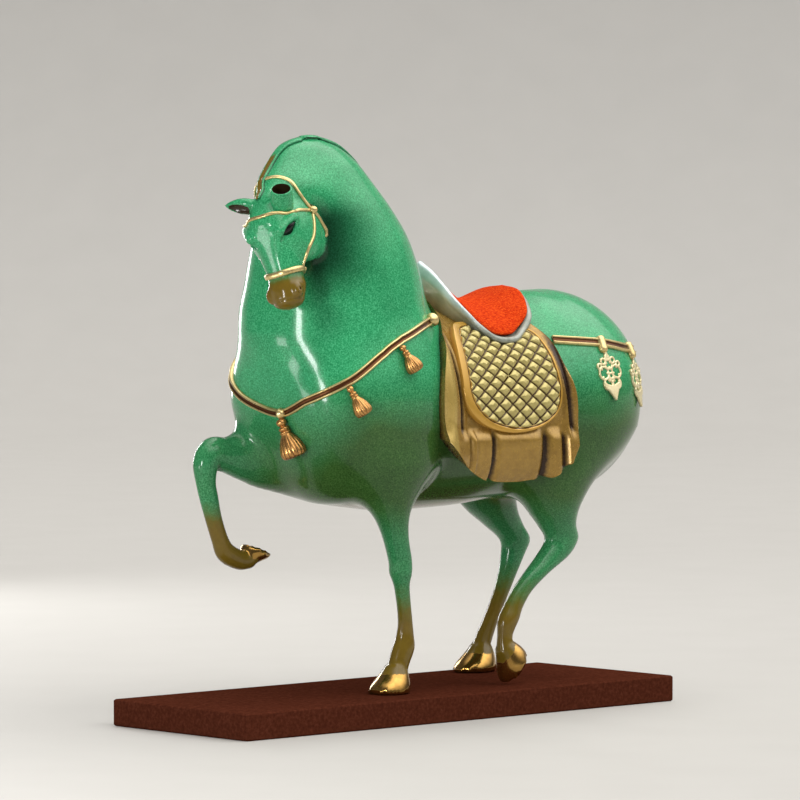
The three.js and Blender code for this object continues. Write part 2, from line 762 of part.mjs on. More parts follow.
// The same solid with its skin pushed out by the given distance.
function grown(body, distance) {
  const mesh = body.getMesh();
  const from = mesh.vertProperties;
  const step = mesh.numProp;
  const count = from.length / step;
  const push = new Float64Array(count * 3);
  for (let i = 0; i < mesh.triVerts.length; i += 3) {
    const [a, b, c] = [0, 1, 2].map((k) => mesh.triVerts[i + k]);
    const at = (v) => new THREE.Vector3(from[v * step], from[v * step + 1], from[v * step + 2]);
    const normal = at(b).sub(at(a)).cross(at(c).sub(at(a)));
    for (const v of [a, b, c]) {
      push[v * 3] += normal.x;
      push[v * 3 + 1] += normal.y;
      push[v * 3 + 2] += normal.z;
    }
  }
  const points = [];
  for (let v = 0; v < count; v++) {
    const size = Math.hypot(push[v * 3], push[v * 3 + 1], push[v * 3 + 2]) || 1;
    points.push([0, 1, 2].map((k) => from[v * step + k] + (push[v * 3 + k] / size) * distance));
  }
  const faces = [];
  for (let i = 0; i < mesh.triVerts.length; i += 3) faces.push([...mesh.triVerts.slice(i, i + 3)]);
  return solid(points, faces);
}

// The room a sharp-edged solid needs around it: pushed out, and shifted every way by the same distance.
function roomAround(body, distance) {
  const shifts = [[1, 0, 0], [0, 1, 0], [0, 0, 1]].flatMap((axis) => [axis, axis.map((v) => -v)]);
  return shifts.reduce(
    (room, axis) => room.add(body.translate(axis.map((v) => v * distance))),
    grown(body, distance),
  );
}

// The largest single body of a solid.
function mainBody(body) {
  return body.decompose().reduce((best, next) => (next.volume() > best.volume() ? next : best));
}

// A solid between two sheets of points over the same grid.
function padded(outer, inner, across, along) {
  const points = [];
  for (const sheet of [outer, inner])
    for (let i = 0; i <= across; i++) for (let j = 0; j <= along; j++) points.push(sheet(i, j));
  const size = (across + 1) * (along + 1);
  const at = (i, j) => i * (along + 1) + j;
  const faces = [];
  for (let i = 0; i < across; i++)
    for (let j = 0; j < along; j++) {
      const [a, b, c, d] = [at(i, j), at(i + 1, j), at(i + 1, j + 1), at(i, j + 1)];
      const split = (i + j) % 2 === 0 ? [[a, b, c], [a, c, d]] : [[a, b, d], [b, c, d]];
      for (const [p, q, r] of split) {
        faces.push([p, q, r]);
        faces.push([p + size, r + size, q + size]);
      }
    }
  const rim = [];
  for (let j = 0; j < along; j++) rim.push(at(0, j));
  for (let i = 0; i < across; i++) rim.push(at(i, along));
  for (let j = along; j > 0; j--) rim.push(at(across, j));
  for (let i = across; i > 0; i--) rim.push(at(i, 0));
  rim.forEach((a, k) => {
    const b = rim[(k + 1) % rim.length];
    faces.push([a, b, b + size], [a, b + size, a + size]);
  });
  return solid(points, faces);
}

// A solid skinned over rings of points and closed by a point at either end.
function ringed(rings) {
  const count = rings[0].length;
  const points = rings.flat();
  const middle = (ring) => [0, 1, 2].map((k) => ring.reduce((sum, p) => sum + p[k], 0) / count);
  const first = points.push(middle(rings[0])) - 1;
  const last = points.push(middle(rings[rings.length - 1])) - 1;
  const faces = [];
  for (let k = 0; k < count; k++) {
    const next = (k + 1) % count;
    faces.push([first, next, k]);
    for (let r = 0; r < rings.length - 1; r++) {
      const [a, b] = [r * count, (r + 1) * count];
      faces.push([a + k, a + next, b + next], [a + k, b + next, b + k]);
    }
    const top = (rings.length - 1) * count;
    faces.push([last, top + k, top + next]);
  }
  return solid(points, faces);
}

// Distance along a ray from inside the horse to its skin.
function skinReach(from, aim) {
  const value = (r) => horseField(from[0] + aim[0] * r, from[1] + aim[1] * r, from[2] + aim[2] * r);
  let inner = 0;
  let outer = 4;
  while (value(outer) < 0) {
    inner = outer;
    outer += 4;
  }
  for (let pass = 0; pass < 14; pass++) {
    const r = (inner + outer) / 2;
    if (value(r) < 0) inner = r;
    else outer = r;
  }
  return inner;
}

function skinNormal([x, y, z]) {
  const e = 0.6;
  return new THREE.Vector3(
    horseField(x + e, y, z) - horseField(x - e, y, z),
    horseField(x, y + e, z) - horseField(x, y - e, z),
    horseField(x, y, z + e) - horseField(x, y, z - e),
  ).normalize();
}

// A point over the back: x, the turn from the top in degrees (left positive), and the height over the skin.
function overBack(x, turn, high) {
  const aim = [0, -Math.sin(radians(turn)), Math.cos(radians(turn))];
  const from = [x, 0, 190];
  const reach = skinReach(from, aim) + high;
  return from.map((v, k) => v + aim[k] * reach);
}

// A point around the chest or the rump at a height z, facing the way of the turn.
function aroundBody([mx, my], way, turn, z) {
  const aim = [way * Math.cos(radians(turn)), -Math.sin(radians(turn)), 0];
  const reach = skinReach([mx, my, z], aim);
  return [mx + aim[0] * reach, my + aim[1] * reach, z];
}

// A value read off rows of [place, value].
function readOff(rows, place) {
  let i = 0;
  while (i < rows.length - 2 && rows[i + 1][0] < place) i++;
  const share = Math.min(Math.max((place - rows[i][0]) / (rows[i + 1][0] - rows[i][0]), 0), 1);
  return through(rows, i + share);
}

// A band laid along skin points, with its top crowned.
function band(path) {
  const half = BAND.width / 2;
  const profile = [
    [-half, -BAND.bury],
    [-half, BAND.high - 0.5],
    [0, BAND.high],
    [half, BAND.high - 0.5],
    [half, -BAND.bury],
  ];
  const rings = path.map((point, i) => {
    const out = skinNormal(point);
    const ahead = new THREE.Vector3(...path[Math.min(i + 1, path.length - 1)])
      .sub(new THREE.Vector3(...path[Math.max(i - 1, 0)]))
      .normalize();
    const side = new THREE.Vector3().crossVectors(ahead, out).normalize();
    return profile.map(([across, high]) =>
      new THREE.Vector3(...point).addScaledVector(side, across).addScaledVector(out, high).toArray(),
    );
  });
  return ringed(rings);
}

// A turned body along an axis: profile rows of [share of the length, radius].
function turned(from, to, profile, sides) {
  const start = new THREE.Vector3(...from);
  const axis = new THREE.Vector3(...to).sub(start);
  const aim = axis.clone().normalize();
  const one = new THREE.Vector3().crossVectors(aim, new THREE.Vector3(0.3, 0.9, 0.1)).normalize();
  const two = new THREE.Vector3().crossVectors(aim, one);
  return ringed(
    profile.map(([share, radius]) =>
      Array.from({ length: sides }, (_, k) => {
        const a = (2 * Math.PI * k) / sides;
        return start
          .clone()
          .addScaledVector(axis, share)
          .addScaledVector(one, Math.cos(a) * radius)
          .addScaledVector(two, Math.sin(a) * radius)
          .toArray();
      }),
    ),
  );
}

function knob(point, radius) {
  const out = skinNormal(point);
  const from = new THREE.Vector3(...point).addScaledVector(out, -1.5);
  const to = new THREE.Vector3(...point).addScaledVector(out, radius * 1.5);
  const profile = [
    [0, radius * 0.8],
    [0.45, radius],
    [0.8, radius * 0.7],
    [0.97, radius * 0.25],
  ];
  return turned(from.toArray(), to.toArray(), profile, 8);
}

// The horse.
const skin = thin(traceSkin(horseField, [-182, -78, 13.1], [204, 78, 372], SKIN_CELL), HORSE_TRIANGLES);
for (const p of skin.points) if (Math.abs(p[2] - GROUND) < 0.2) p[2] = GROUND;
// The left ear is turned as a cup and grows out of the skull.
const leftEar = (() => {
  const aim = new THREE.Vector3(...CUP.aim).normalize();
  const tip = new THREE.Vector3(...CUP.root).addScaledVector(aim, CUP.length);
  const profile = [
    [-0.4, CUP.radius],
    [0.75, CUP.radius],
    [1, CUP.radius - 0.7],
    [0.95, CUP.hollow],
    [0.5, CUP.hollow * 0.7],
  ];
  return turned(fromHead(CUP.root).toArray(), fromHead(tip.toArray()).toArray(), profile, 12);
})();
const horse = mainBody(solid(skin.points, skin.faces).add(leftEar));
const clearOfHorse = grown(horse, SEAT_GAP);

// The plinth.
const plinth = (() => {
  const { length, depth, height, bevel } = PLINTH;
  const ring = (inset, z) =>
    [[-1, -1], [1, -1], [1, 1], [-1, 1]].map(([sx, sy]) => [
      sx * (length / 2 - inset),
      sy * (depth / 2 - inset),
      z,
    ]);
  return ringed([ring(bevel, 0), ring(0, bevel), ring(0, height - bevel), ring(bevel, height)]);
})();

// The saddle cloth hangs over both sides, pleated beside and below the flaps.
const foldAt = (x, turn) => {
  const front = Math.exp(-(((x + 8) / 13) ** 2));
  const rear = Math.exp(-(((x - 86) / 9) ** 2));
  const below = THREE.MathUtils.smoothstep(Math.abs(turn), 103, 116);
  const beside = THREE.MathUtils.smoothstep(Math.abs(turn), 36, 60);
  const pleats = Math.sin((x + 24) * 0.62) * (front + rear) * beside;
  const panel = Math.abs(x - 43) < 21 ? 0.5 : Math.cos((x - 43) * 0.55);
  const pleated = CLOTH.fold * (0.5 + 0.5 * Math.max(pleats, -0.6)) * Math.max(front, rear) * beside;
  const swing = CLOTH.swing * THREE.MathUtils.smoothstep(Math.abs(turn), 94, 126);
  return pleated + swing + 2.6 * below * (0.5 + 0.5 * panel);
};
const clothPoint = (i, j, high) => {
  const side = (2 * j) / CLOTH.around - 1;
  const share = i / CLOTH.across;
  let x = THREE.MathUtils.lerp(-20, 89, share);
  let turn = 0;
  for (let pass = 0; pass < 3; pass++) {
    const [, hem] = readOff(CLOTH_HEM, x);
    turn = side * hem;
    const [, front, rear] = readOff(CLOTH_EDGES, Math.abs(turn));
    x = THREE.MathUtils.lerp(front, rear, share);
  }
  return overBack(x, turn, high(x, turn));
};
const cloth = mainBody(
  padded(
    (i, j) => clothPoint(i, j, (x, turn) => CLOTH.thick + foldAt(x, turn)),
    (i, j) => clothPoint(i, j, () => -CLOTH.bury),
    CLOTH.across,
    CLOTH.around,
  ).subtract(clearOfHorse),
);
const clearOfCloth = roomAround(cloth, SEAT_GAP);

// The saddle: a shell that rises to a pommel and a cantle, with a round rim.
const rimPoint = (turn) => {
  const side = turn > 180 ? -1 : 1;
  const [, x, spread, z] = readOff(RIM, side > 0 ? turn : 360 - turn);
  return [x, -side * spread, z];
};
const saddleRing = (share, lift, out = 0) =>
  Array.from({ length: SADDLE.steps }, (_, k) => {
    const [rx, ry, rz] = rimPoint((360 * k) / SADDLE.steps);
    const [mx, my, mz] = SADDLE.middle;
    const size = Math.hypot(rx - mx, ry - my);
    const scale = share + out / size;
    return [mx + (rx - mx) * scale, my + (ry - my) * scale, mz + (rz - mz) * share * share + lift];
  });
const skirt = saddleRing(1, -3, -1).map(([x, y, z]) => {
  const top = skinReach([x, y, 200], [0, 0, 1]) + 200;
  return [x, y, Math.min(z, top - 1)];
});
const saddle = mainBody(
  ringed([
    saddleRing(0.3, -SADDLE.shell),
    saddleRing(0.75, -SADDLE.shell),
    skirt,
    saddleRing(1, 0, SADDLE.rim),
    saddleRing(1, SADDLE.rim, 0),
    saddleRing(1, 0.4, -SADDLE.rim),
    saddleRing(SADDLE.lining - 0.02, 0),
    saddleRing(0.6, 0),
    saddleRing(0.3, 0),
  ])
    .subtract(clearOfHorse)
    .subtract(clearOfCloth),
);
const clearOfSaddle = roomAround(saddle, SEAT_GAP);
const seat = mainBody(
  ringed([
    saddleRing(0.3, -1),
    saddleRing(0.6, -1),
    saddleRing(SADDLE.lining - 0.01, -1),
    saddleRing(SADDLE.lining - 0.02, SEAT.pad * 0.6),
    saddleRing(0.78, SEAT.pad),
    saddleRing(0.5, SEAT.pad),
    saddleRing(0.2, SEAT.pad),
  ])
    .subtract(clearOfSaddle)
    .subtract(clearOfCloth),
);

// All the room under and over the saddle's rim, which the flaps stop short of.
const underSaddle = (() => {
  const outline = saddleRing(1, 0, SADDLE.rim + SEAT_GAP);
  return ringed([160, 300].map((z) => outline.map(([x, y]) => [x, y, z])));
})();

// The quilted flaps.
const flapPoint = (side, i, j, high) => {
  const share = j / FLAP.rows;
  const turn = THREE.MathUtils.lerp(FLAP.from, FLAP.to, Math.min(share, 0.985));
  const spread = THREE.MathUtils.lerp(
    FLAP.narrow,
    FLAP.wide,
    THREE.MathUtils.smoothstep(turn, FLAP.from, FLAP.corner),
  );
  const low = Math.max((turn - FLAP.corner) / (FLAP.to - FLAP.corner), 0);
  const half = spread * Math.pow(1 - Math.pow(low, 2.6), 1 / 2.6);
  const x = FLAP.middle + ((2 * i) / FLAP.rows - 1) * half;
  return overBack(x, side * turn, high);
};
const flapHigh = (i, j) => {
  const base = CLOTH.thick + SEAT_GAP + FLAP.thick;
  const atEdge = i === 0 || i === FLAP.rows || j === FLAP.rows;
  if (atEdge) return base + FLAP.border * 0.6;
  const nearEdge = i === 1 || i === FLAP.rows - 1 || j === FLAP.rows - 1;
  if (nearEdge) return base;
  return base + ((i + j) % 2 === 1 ? FLAP.dome : 0);
};
const flapOn = (side) =>
  mainBody(
    padded(
      (i, j) => flapPoint(side, i, j, flapHigh(i, j)),
      (i, j) => flapPoint(side, i, j, CLOTH.thick - 1.5),
      FLAP.rows,
      FLAP.rows,
    )
      .subtract(clearOfCloth)
      .subtract(clearOfHorse)
      .subtract(underSaddle),
  );

// The straps.
const breastPath = (turn) => {
  const [, z] = readOff(BREAST.drop, turn);
  return aroundBody(BREAST.middle, -1, turn, z);
};
const crupperPath = (turn) => {
  const [, z] = readOff(CRUPPER.drop, Math.abs(turn));
  return aroundBody(CRUPPER.middle, 1, turn, z);
};
const sweep = (path, reach, count) =>
  Array.from({ length: count + 1 }, (_, k) => path(-reach + (2 * reach * k) / count));
const breast = mainBody(
  band(sweep(breastPath, BREAST.reach, 36))
    .add(knob(breastPath(BREAST.bead), 3.6))
    .add(knob(breastPath(BREAST.reach - 1), 4.2))
    .add(knob(breastPath(1 - BREAST.reach), 4.2))
    .subtract(clearOfHorse)
    .subtract(clearOfCloth)
    .subtract(clearOfSaddle),
);
const crupper = mainBody(
  PENDANT.turns
    .reduce((sum, turn) => sum.add(knob(crupperPath(turn), 3.4)), band(sweep(crupperPath, CRUPPER.reach, 28)))
    .subtract(clearOfHorse)
    .subtract(clearOfCloth),
);
const clearOfBreast = roomAround(breast, SEAT_GAP);
const clearOfCrupper = roomAround(crupper, SEAT_GAP);

// A tassel: a bead, a collar and a bell that hang against the chest, swung back by the horse's step.
const SWING = 9;
const TASSEL_PROFILE = [
  [0, 0.22],
  [0.06, 0.36],
  [0.16, 0.36],
  [0.24, 0.24],
  [0.3, 0.42],
  [0.36, 0.4],
  [0.6, 0.8],
  [0.84, 1],
  [0.96, 0.86],
  [1, 0.6],
];
const tasselOn = ({ turn, long, wide }) => {
  const top = breastPath(turn);
  const topOut = skinNormal(top);
  const [, z] = readOff(BREAST.drop, turn);
  const foot = aroundBody(BREAST.middle, -1, turn + Math.sign(turn) * SWING, z - long - 3);
  const footOut = skinNormal(foot);
  const from = new THREE.Vector3(...top).addScaledVector(topOut, 3);
  from.z -= 3;
  const to = new THREE.Vector3(...foot).addScaledVector(footOut, wide * 0.75);
  return mainBody(
    turned(from.toArray(), to.toArray(), TASSEL_PROFILE.map(([share, r]) => [share, r * wide]), 9)
      .subtract(clearOfHorse)
      .subtract(clearOfBreast),
  );
};

// A pendant: outline points of a scalloped leaf, pierced, and stood off the skin.
const pendantPlate = (() => {
  const { wide, tall, thick, ring } = PENDANT;
  const outline = new THREE.Shape();
  const count = 18;
  for (let k = 0; k < count; k++) {
    const a = (2 * Math.PI * k) / count;
    const down = Math.max(-Math.cos(a), 0);
    const reach = wide * (0.92 + 0.08 * Math.cos(6 * a)) * (1 - 0.35 * down ** 4);
    const x = Math.sin(a) * reach;
    const y = Math.cos(a) * (tall / 2) * (0.95 + 0.05 * Math.cos(6 * a));
    if (k === 0) outline.moveTo(x, y);
    else outline.lineTo(x, y);
  }
  const centres = [[0, 6.4], [-5, 2.2], [5, 2.2], [-3.2, -4.4], [3.2, -4.4]];
  for (const [cx, cy] of centres) {
    const hole = new THREE.Path();
    for (let k = 0; k < 5; k++) {
      const a = (2 * Math.PI * k) / 5;
      const x = cx + Math.cos(a) * ring * 0.72;
      const y = cy + Math.sin(a) * ring * 0.72;
      if (k === 0) hole.moveTo(x, y);
      else hole.lineTo(x, y);
    }
    outline.holes.push(hole);
  }
  return new THREE.ExtrudeGeometry(outline, { depth: thick, bevelEnabled: false, steps: 1 });
})();
const pendantOn = (turn) => {
  const top = crupperPath(turn);
  const [, z] = readOff(CRUPPER.drop, Math.abs(turn));
  const drop = PENDANT.tall + 8;
  const foot = aroundBody(CRUPPER.middle, 1, turn, z - drop);
  const out = skinNormal(aroundBody(CRUPPER.middle, 1, turn, z - drop / 2));
  const upward = new THREE.Vector3(...top).sub(new THREE.Vector3(...foot)).normalize();
  const side = new THREE.Vector3().crossVectors(upward, out).normalize();
  const face = new THREE.Vector3().crossVectors(side, upward).normalize();
  const centre = new THREE.Vector3(...top)
    .addScaledVector(upward, -(PENDANT.tall / 2 + 8))
    .addScaledVector(face, PENDANT.stand);
  const place = new THREE.Matrix4().makeBasis(side, upward, face).setPosition(centre);
  const plate = fromGeometry(pendantPlate.clone().applyMatrix4(place));
  const from = new THREE.Vector3(...top).addScaledVector(upward, -1).addScaledVector(face, 2.4);
  const to = centre.clone().addScaledVector(upward, PENDANT.tall / 2 - 2).addScaledVector(face, 1);
  const link = turned(from.toArray(), to.toArray(), [[0, 1.2], [1, 1.2]], 6);
  return mainBody(plate.add(link).subtract(clearOfHorse).subtract(clearOfCrupper));
};

function fromGeometry(geometry) {
  const bare = new THREE.BufferGeometry().setAttribute("position", geometry.getAttribute("position"));
  const merged = mergeVertices(bare, 1e-4);
  const at = merged.getAttribute("position");
  const points = Array.from({ length: at.count }, (_, i) => [at.getX(i), at.getY(i), at.getZ(i)]);
  const index = [...merged.index.array];
  const faces = [];
  for (let i = 0; i < index.length; i += 3) faces.push(index.slice(i, i + 3));
  return solid(points, faces);
}

// The shared points and faces of a solid.
function listOf(body) {
  const mesh = body.getMesh();
  const from = mesh.vertProperties;
  const points = [];
  for (let i = 0; i < from.length; i += mesh.numProp) points.push([from[i], from[i + 1], from[i + 2]]);
  const faces = [];
  for (let i = 0; i < mesh.triVerts.length; i += 3) faces.push([...mesh.triVerts.slice(i, i + 3)]);
  return { points, faces };
}

const part = new THREE.Group();
function put(name, body, colour, most = Infinity) {
  const listed = listOf(body);
  const { points, faces } = listed.faces.length > most ? thin(listed, most) : listed;
  const geometry = new THREE.BufferGeometry();
  geometry.setAttribute("position", new THREE.BufferAttribute(new Float32Array(points.flat()), 3));
  geometry.setIndex(faces.flat());
  geometry.computeVertexNormals();
  const made = new THREE.Mesh(geometry, new THREE.MeshStandardMaterial({ color: colour }));
  made.name = name;
  part.add(made);
}

put("plinth", plinth, "#3a1c18");
put("horse", horse, "#2fa36b");
put("saddle_cloth", cloth, "#b8923f", 1100);
put("saddle", saddle, "#c9d6da", 600);
put("saddle_seat", seat, "#e04a1c", 260);
put("saddle_flap_left", flapOn(1), "#b08f3c", 820);
put("saddle_flap_right", flapOn(-1), "#b08f3c", 820);
put("breast_strap", breast, "#a9713a", 520);
put("crupper_strap", crupper, "#a9713a", 480);
for (const tassel of TASSELS) put(tassel.name, tasselOn(tassel), "#a9713a", 110);
PENDANT.turns.forEach((turn, i) => put(PENDANT_NAMES[i], pendantOn(turn), "#c8ab62", 200));

export default part;
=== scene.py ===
# A Tang style horse in tack on its plinth, dressed for a close look: the casting's skin is traced from the
# same solid shapes as the CAD part, and its tack is laid over that skin.
import math
import bpy
import numpy as np
from mathutils import Matrix, Vector


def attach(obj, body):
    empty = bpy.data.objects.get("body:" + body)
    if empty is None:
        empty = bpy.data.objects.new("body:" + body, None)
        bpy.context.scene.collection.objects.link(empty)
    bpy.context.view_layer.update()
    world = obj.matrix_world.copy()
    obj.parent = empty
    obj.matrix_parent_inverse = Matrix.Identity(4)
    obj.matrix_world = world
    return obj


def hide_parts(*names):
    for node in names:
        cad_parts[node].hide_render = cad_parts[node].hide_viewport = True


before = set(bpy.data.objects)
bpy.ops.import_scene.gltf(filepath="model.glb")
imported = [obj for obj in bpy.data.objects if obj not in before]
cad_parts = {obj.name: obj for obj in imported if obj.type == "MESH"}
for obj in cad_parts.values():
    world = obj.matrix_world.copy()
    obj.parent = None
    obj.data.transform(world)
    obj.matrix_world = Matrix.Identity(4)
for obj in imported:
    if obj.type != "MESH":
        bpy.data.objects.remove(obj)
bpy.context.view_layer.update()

# Sizes and places are in millimetres, as in the part's drawing. MM turns them into Blender's metres.
MM = 0.001
GROUND = 16.8

# Trunk, cut across at stations along x: x, middle y, middle z, half width, half height.
TRUNK = [
    (-58, 0, 189, 54, 55),
    (-20, 2, 187, 57, 59),
    (30, 2, 188, 59, 60),
    (70, 0, 190, 60, 59),
    (100, 0, 195.5, 62.5, 65.5),
    (121, 0, 196.5, 63, 66.5),
]
TRUNK_ENDS = (40, 67)
# Neck, cut across at heights: z, middle x, middle y, half length, half width.
NECK = [
    (172, -44, 0, 34, 32),
    (200, -50, 0, 51, 46),
    (228, -55, 0, 60, 53),
    (250, -56, 0, 60.5, 54),
    (268, -57, -2, 58, 51),
    (286, -60, -4, 54, 47),
    (301, -64, -6, 50, 42),
    (317, -72, -9, 45, 35),
    (331, -79, -11, 39, 28),
    (343, -84, -13, 32, 21),
    (351.5, -87, -14, 23, 14),
    (355.6, -88, -14.5, 15, 8),
    (357.8, -88.5, -14.7, 6.5, 3.6),
]
# Muscles laid over the trunk, and the poll: middle, radii, and how far they melt in.
MUSCLES = [
    ((-80, 24, 199), (25, 28, 28), 22),
    ((-76, -24, 196), (26, 30, 32), 22),
    ((-42, -24, 196), (36, 34, 52), 20),
    ((-50, 22, 192), (36, 34, 50), 20),
    ((-110, -20, 326), (21, 17, 14), 14),
]
# Standing legs, cut across at heights as the neck is.
LEFT_FORE = [
    (33, -27, -28, 6.8, 6.2),
    (44, -23, -28.5, 7.6, 6.2),
    (52, -22, -29, 5.8, 5),
    (63, -23, -30, 4.7, 4.2),
    (82, -26.5, -31, 5, 4.8),
    (91, -28, -31.5, 7.2, 7),
    (99, -29, -32, 7.6, 7.2),
    (115, -35, -34, 8.8, 8),
    (129, -40, -36, 12.6, 11),
    (143, -42, -37, 19.5, 15.5),
    (158, -42, -37, 27, 19),
    (175, -44, -30, 34, 20),
]
LEFT_HIND = [
    (38, 59, -34, 6, 6),
    (47, 58.5, -34, 5, 4.8),
    (57, 61.5, -34, 7.4, 6),
    (65, 65.5, -34, 7.2, 5.6),
    (75, 72.5, -35, 7.8, 5.2),
    (85.5, 84, -36, 9.8, 6.2),
    (96, 98.5, -36, 13, 7.4),
    (106, 106, -36, 12.4, 8.6),
    (115, 101, -37, 13.4, 11),
    (125, 96.5, -38, 18, 15),
    (138, 96, -38, 26, 20),
    (152, 100, -36, 35, 25),
    (176, 112, -28, 52, 30),
]
RIGHT_HIND = [
    (32, 109.5, 42, 6.4, 6),
    (41, 114, 42, 6, 5.2),
    (51, 119.5, 42, 5.4, 4.8),
    (63, 126, 42, 5.6, 4.8),
    (75, 132, 42, 6.2, 5.4),
    (90, 138, 42, 8.4, 7),
    (100, 140, 42, 11.2, 8.4),
    (110, 130, 42, 14.5, 10.5),
    (120, 119, 41, 18.5, 14),
    (131, 112, 40, 23, 18),
    (146, 112, 38, 34, 23),
    (172, 118, 28, 50, 30),
]
# The raised leg and the bound tail, joint by joint: x, y, z, half depth, half width.
RIGHT_FORE = [
    (-62, 28, 172, 30, 22),
    (-82, 32, 163, 21, 17),
    (-98, 33, 163, 16, 13),
    (-115, 33, 164.5, 11, 9.6),
    (-125, 33, 165.5, 10, 9),
    (-130.5, 33, 159, 8.4, 7.6),
    (-130.5, 33, 148, 6.4, 6),
    (-128, 33, 138, 6, 5.6),
    (-124.5, 33, 126, 5.4, 5),
    (-119.5, 33, 113, 5.4, 5),
    (-114.5, 33, 104.5, 6.4, 5.8),
    (-104, 33, 99.5, 6.2, 5.8),
    (-97, 33, 99.5, 6.2, 6),
]
TAIL = [
    (172, 3, 213, 9, 9),
    (184, 4, 209, 7, 7.5),
    (190, 5, 201, 6, 7),
    (191, 6, 191, 5.4, 6.4),
    (190, 7, 181, 4.6, 5),
    (190, 8, 173, 3.2, 3.4),
]
# Hooves: the toe and the heel of the sole, and the hoof's height and half width.
HOOVES = {
    "left fore": ((-48.5, -28, GROUND), (-21, -28, GROUND), 15.5, 12.5),
    "right fore": ((-80, 33, 101), (-99, 33, 108.8), 9, 9),
    "left hind": ((58, -34, GROUND + 0.4), (73, -34, 38), 14, 10.5),
    "right hind": ((88, 42, GROUND), (119, 42, GROUND), 15.5, 12.5),
}
# Head, in its own frame: down the face, forwards, and out to the horse's left, from the poll.
HEAD = {"poll": (-132.2, -25, 324.3), "turn": 18, "tuck": -3, "lean": 15}
SKULL = [
    (6, -6, 0, 13, 13),
    (14, -4, 0, 17, 16.2),
    (25, -4, 0, 17.6, 17),
    (38, -4.5, 0, 14.6, 13.2),
    (50, -3.5, 0, 11.6, 10.6),
    (58, -3, 0, 11.4, 11.2),
    (66, -1.5, 0, 9.4, 9.6),
]
SKULL_ENDS = (9, 5.2)
CHEEK = ((24, -17, 11), (19, 19, 8), 6)
# A brow runs along the upper side of each eye.
BROW = ((25.5, 11, 10.5), (18.5, 2.5, 16.8), 2.6, 4)
# The flat of the nose: it stands this far forwards between the eyes and by the noseband.
NOSE = ((24, 12.6), (52, 7.4))
# An eye's two corners, its half length and half height, and the middle of a nostril.
EYE = {"corners": ((20.9, 2.2, 17), (31.2, 11, 13)), "long": 7.6, "high": 2.9}
NOSTRIL = (61.4, 2.4, 9.6)
# The left ear is a short cup that looks up and forwards; the right ear is a leaf held out to the side.
CUP = {"root": (9.6, 1.8, 10.4), "aim": (-0.7, 0.56, 0.44), "length": 12.5, "radius": 6.6, "hollow": 5.4}
LEAF = {"root": (5.4, 2.5, -8), "aim": (-0.26, 0.24, -0.94), "length": 19, "radius": 5.6, "point": 0.5}
LEAF_MOUTH = (0.76, 0.57, 0.15)
# The tack's turns about the body are taken from a line along it at this height.
BODY_AXIS = 190.0


def melt(a, b, reach):
    """Joins two distances with a rounded seam of the given reach."""
    h = np.maximum(reach - np.abs(a - b), 0) / reach
    return np.minimum(a, b) - h * h * reach / 4


def carve(a, b, reach):
    """Takes shape b out of shape a, with a rounded edge."""
    return -melt(-a, b, reach)


def smooth(low, high, value):
    """0 below low, 1 above high, and an even slope between."""
    t = np.clip((value - low) / (high - low), 0, 1)
    return t * t * (3 - 2 * t)


def unit(v):
    v = np.asarray(v, float)
    return v / np.maximum(np.linalg.norm(v, axis=-1, keepdims=True), 1e-12)


def outside(x, y, z, rx, ry, rz):
    """Roughly how far a point is outside an ellipsoid about the origin."""
    far = np.sqrt((x / rx) ** 2 + (y / ry) ** 2 + (z / rz) ** 2)
    steep = np.sqrt((x / rx**2) ** 2 + (y / ry**2) ** 2 + (z / rz**2) ** 2)
    return far * (far - 1) / np.maximum(steep, 1e-9)


def ellipsoid(middle, radii):
    return lambda p: outside(*(p - middle).T, *radii)


def through(rows, t):
    """A smooth curve through the rows' values, t counting the rows."""
    rows = np.asarray(rows, float)
    last = len(rows) - 1
    t = np.atleast_1d(t)
    i = np.clip(np.floor(t).astype(int), 0, last - 1)
    f = np.clip(t - i, 0, 1)[:, None]
    here = rows[i]
    after = rows[i + 1]
    leave = (after - rows[np.maximum(i - 1, 0)]) / np.where(i == 0, 1, 2)[:, None]
    arrive = (rows[np.minimum(i + 2, last)] - here) / np.where(i == last - 1, 1, 2)[:, None]
    return (
        (2 * f**3 - 3 * f**2 + 1) * here
        + (f**3 - 2 * f**2 + f) * leave
        + (3 * f**2 - 2 * f**3) * after
        + (f**3 - f**2) * arrive
    )


def read_off(rows, place):
    """Values read off rows of (place, values...) along the smooth curve through them."""
    rows = np.asarray(rows, float)
    share = np.interp(place, rows[:, 0], np.arange(len(rows)))
    return through(rows, share)[:, 1:].T


def only_near(field, low, high, margin=34):
    """The same field, worked out only in and near its box, and far off elsewhere."""
    low = np.asarray(low, float) - margin
    high = np.asarray(high, float) + margin

    def culled(p):
        d = np.full(len(p), 1e3)
        near = np.all((p > low) & (p < high), axis=1)
        if near.any():
            d[near] = field(p[near])
        return d

    return culled


def stack(stations, ends, axes):
    """A body cut across at stations along axes[0]: place, middles on the other two axes, half sizes."""
    rows = through(stations, np.linspace(0, len(stations) - 1, (len(stations) - 1) * 24 + 1))
    low, high = rows[0, 0], rows[-1, 0]

    def field(p):
        along, across, up = (p[:, a] for a in axes)
        sizes = [np.interp(along, rows[:, 0], rows[:, k]) for k in range(1, 5)]
        mid_across, mid_up, half_across, half_up = sizes
        past = along - np.clip(along, low, high)
        end = np.where(past < 0, *ends)
        return outside(past, across - mid_across, up - mid_up, end, half_across, half_up)

    corners = np.zeros((2, 3))
    corners[:, axes[0]] = (low - ends[0], high + ends[1])
    for k, axis in enumerate(axes[1:], 1):
        corners[:, axis] = ((rows[:, k] - rows[:, k + 2]).min(), (rows[:, k] + rows[:, k + 2]).max())
    return only_near(field, *corners)


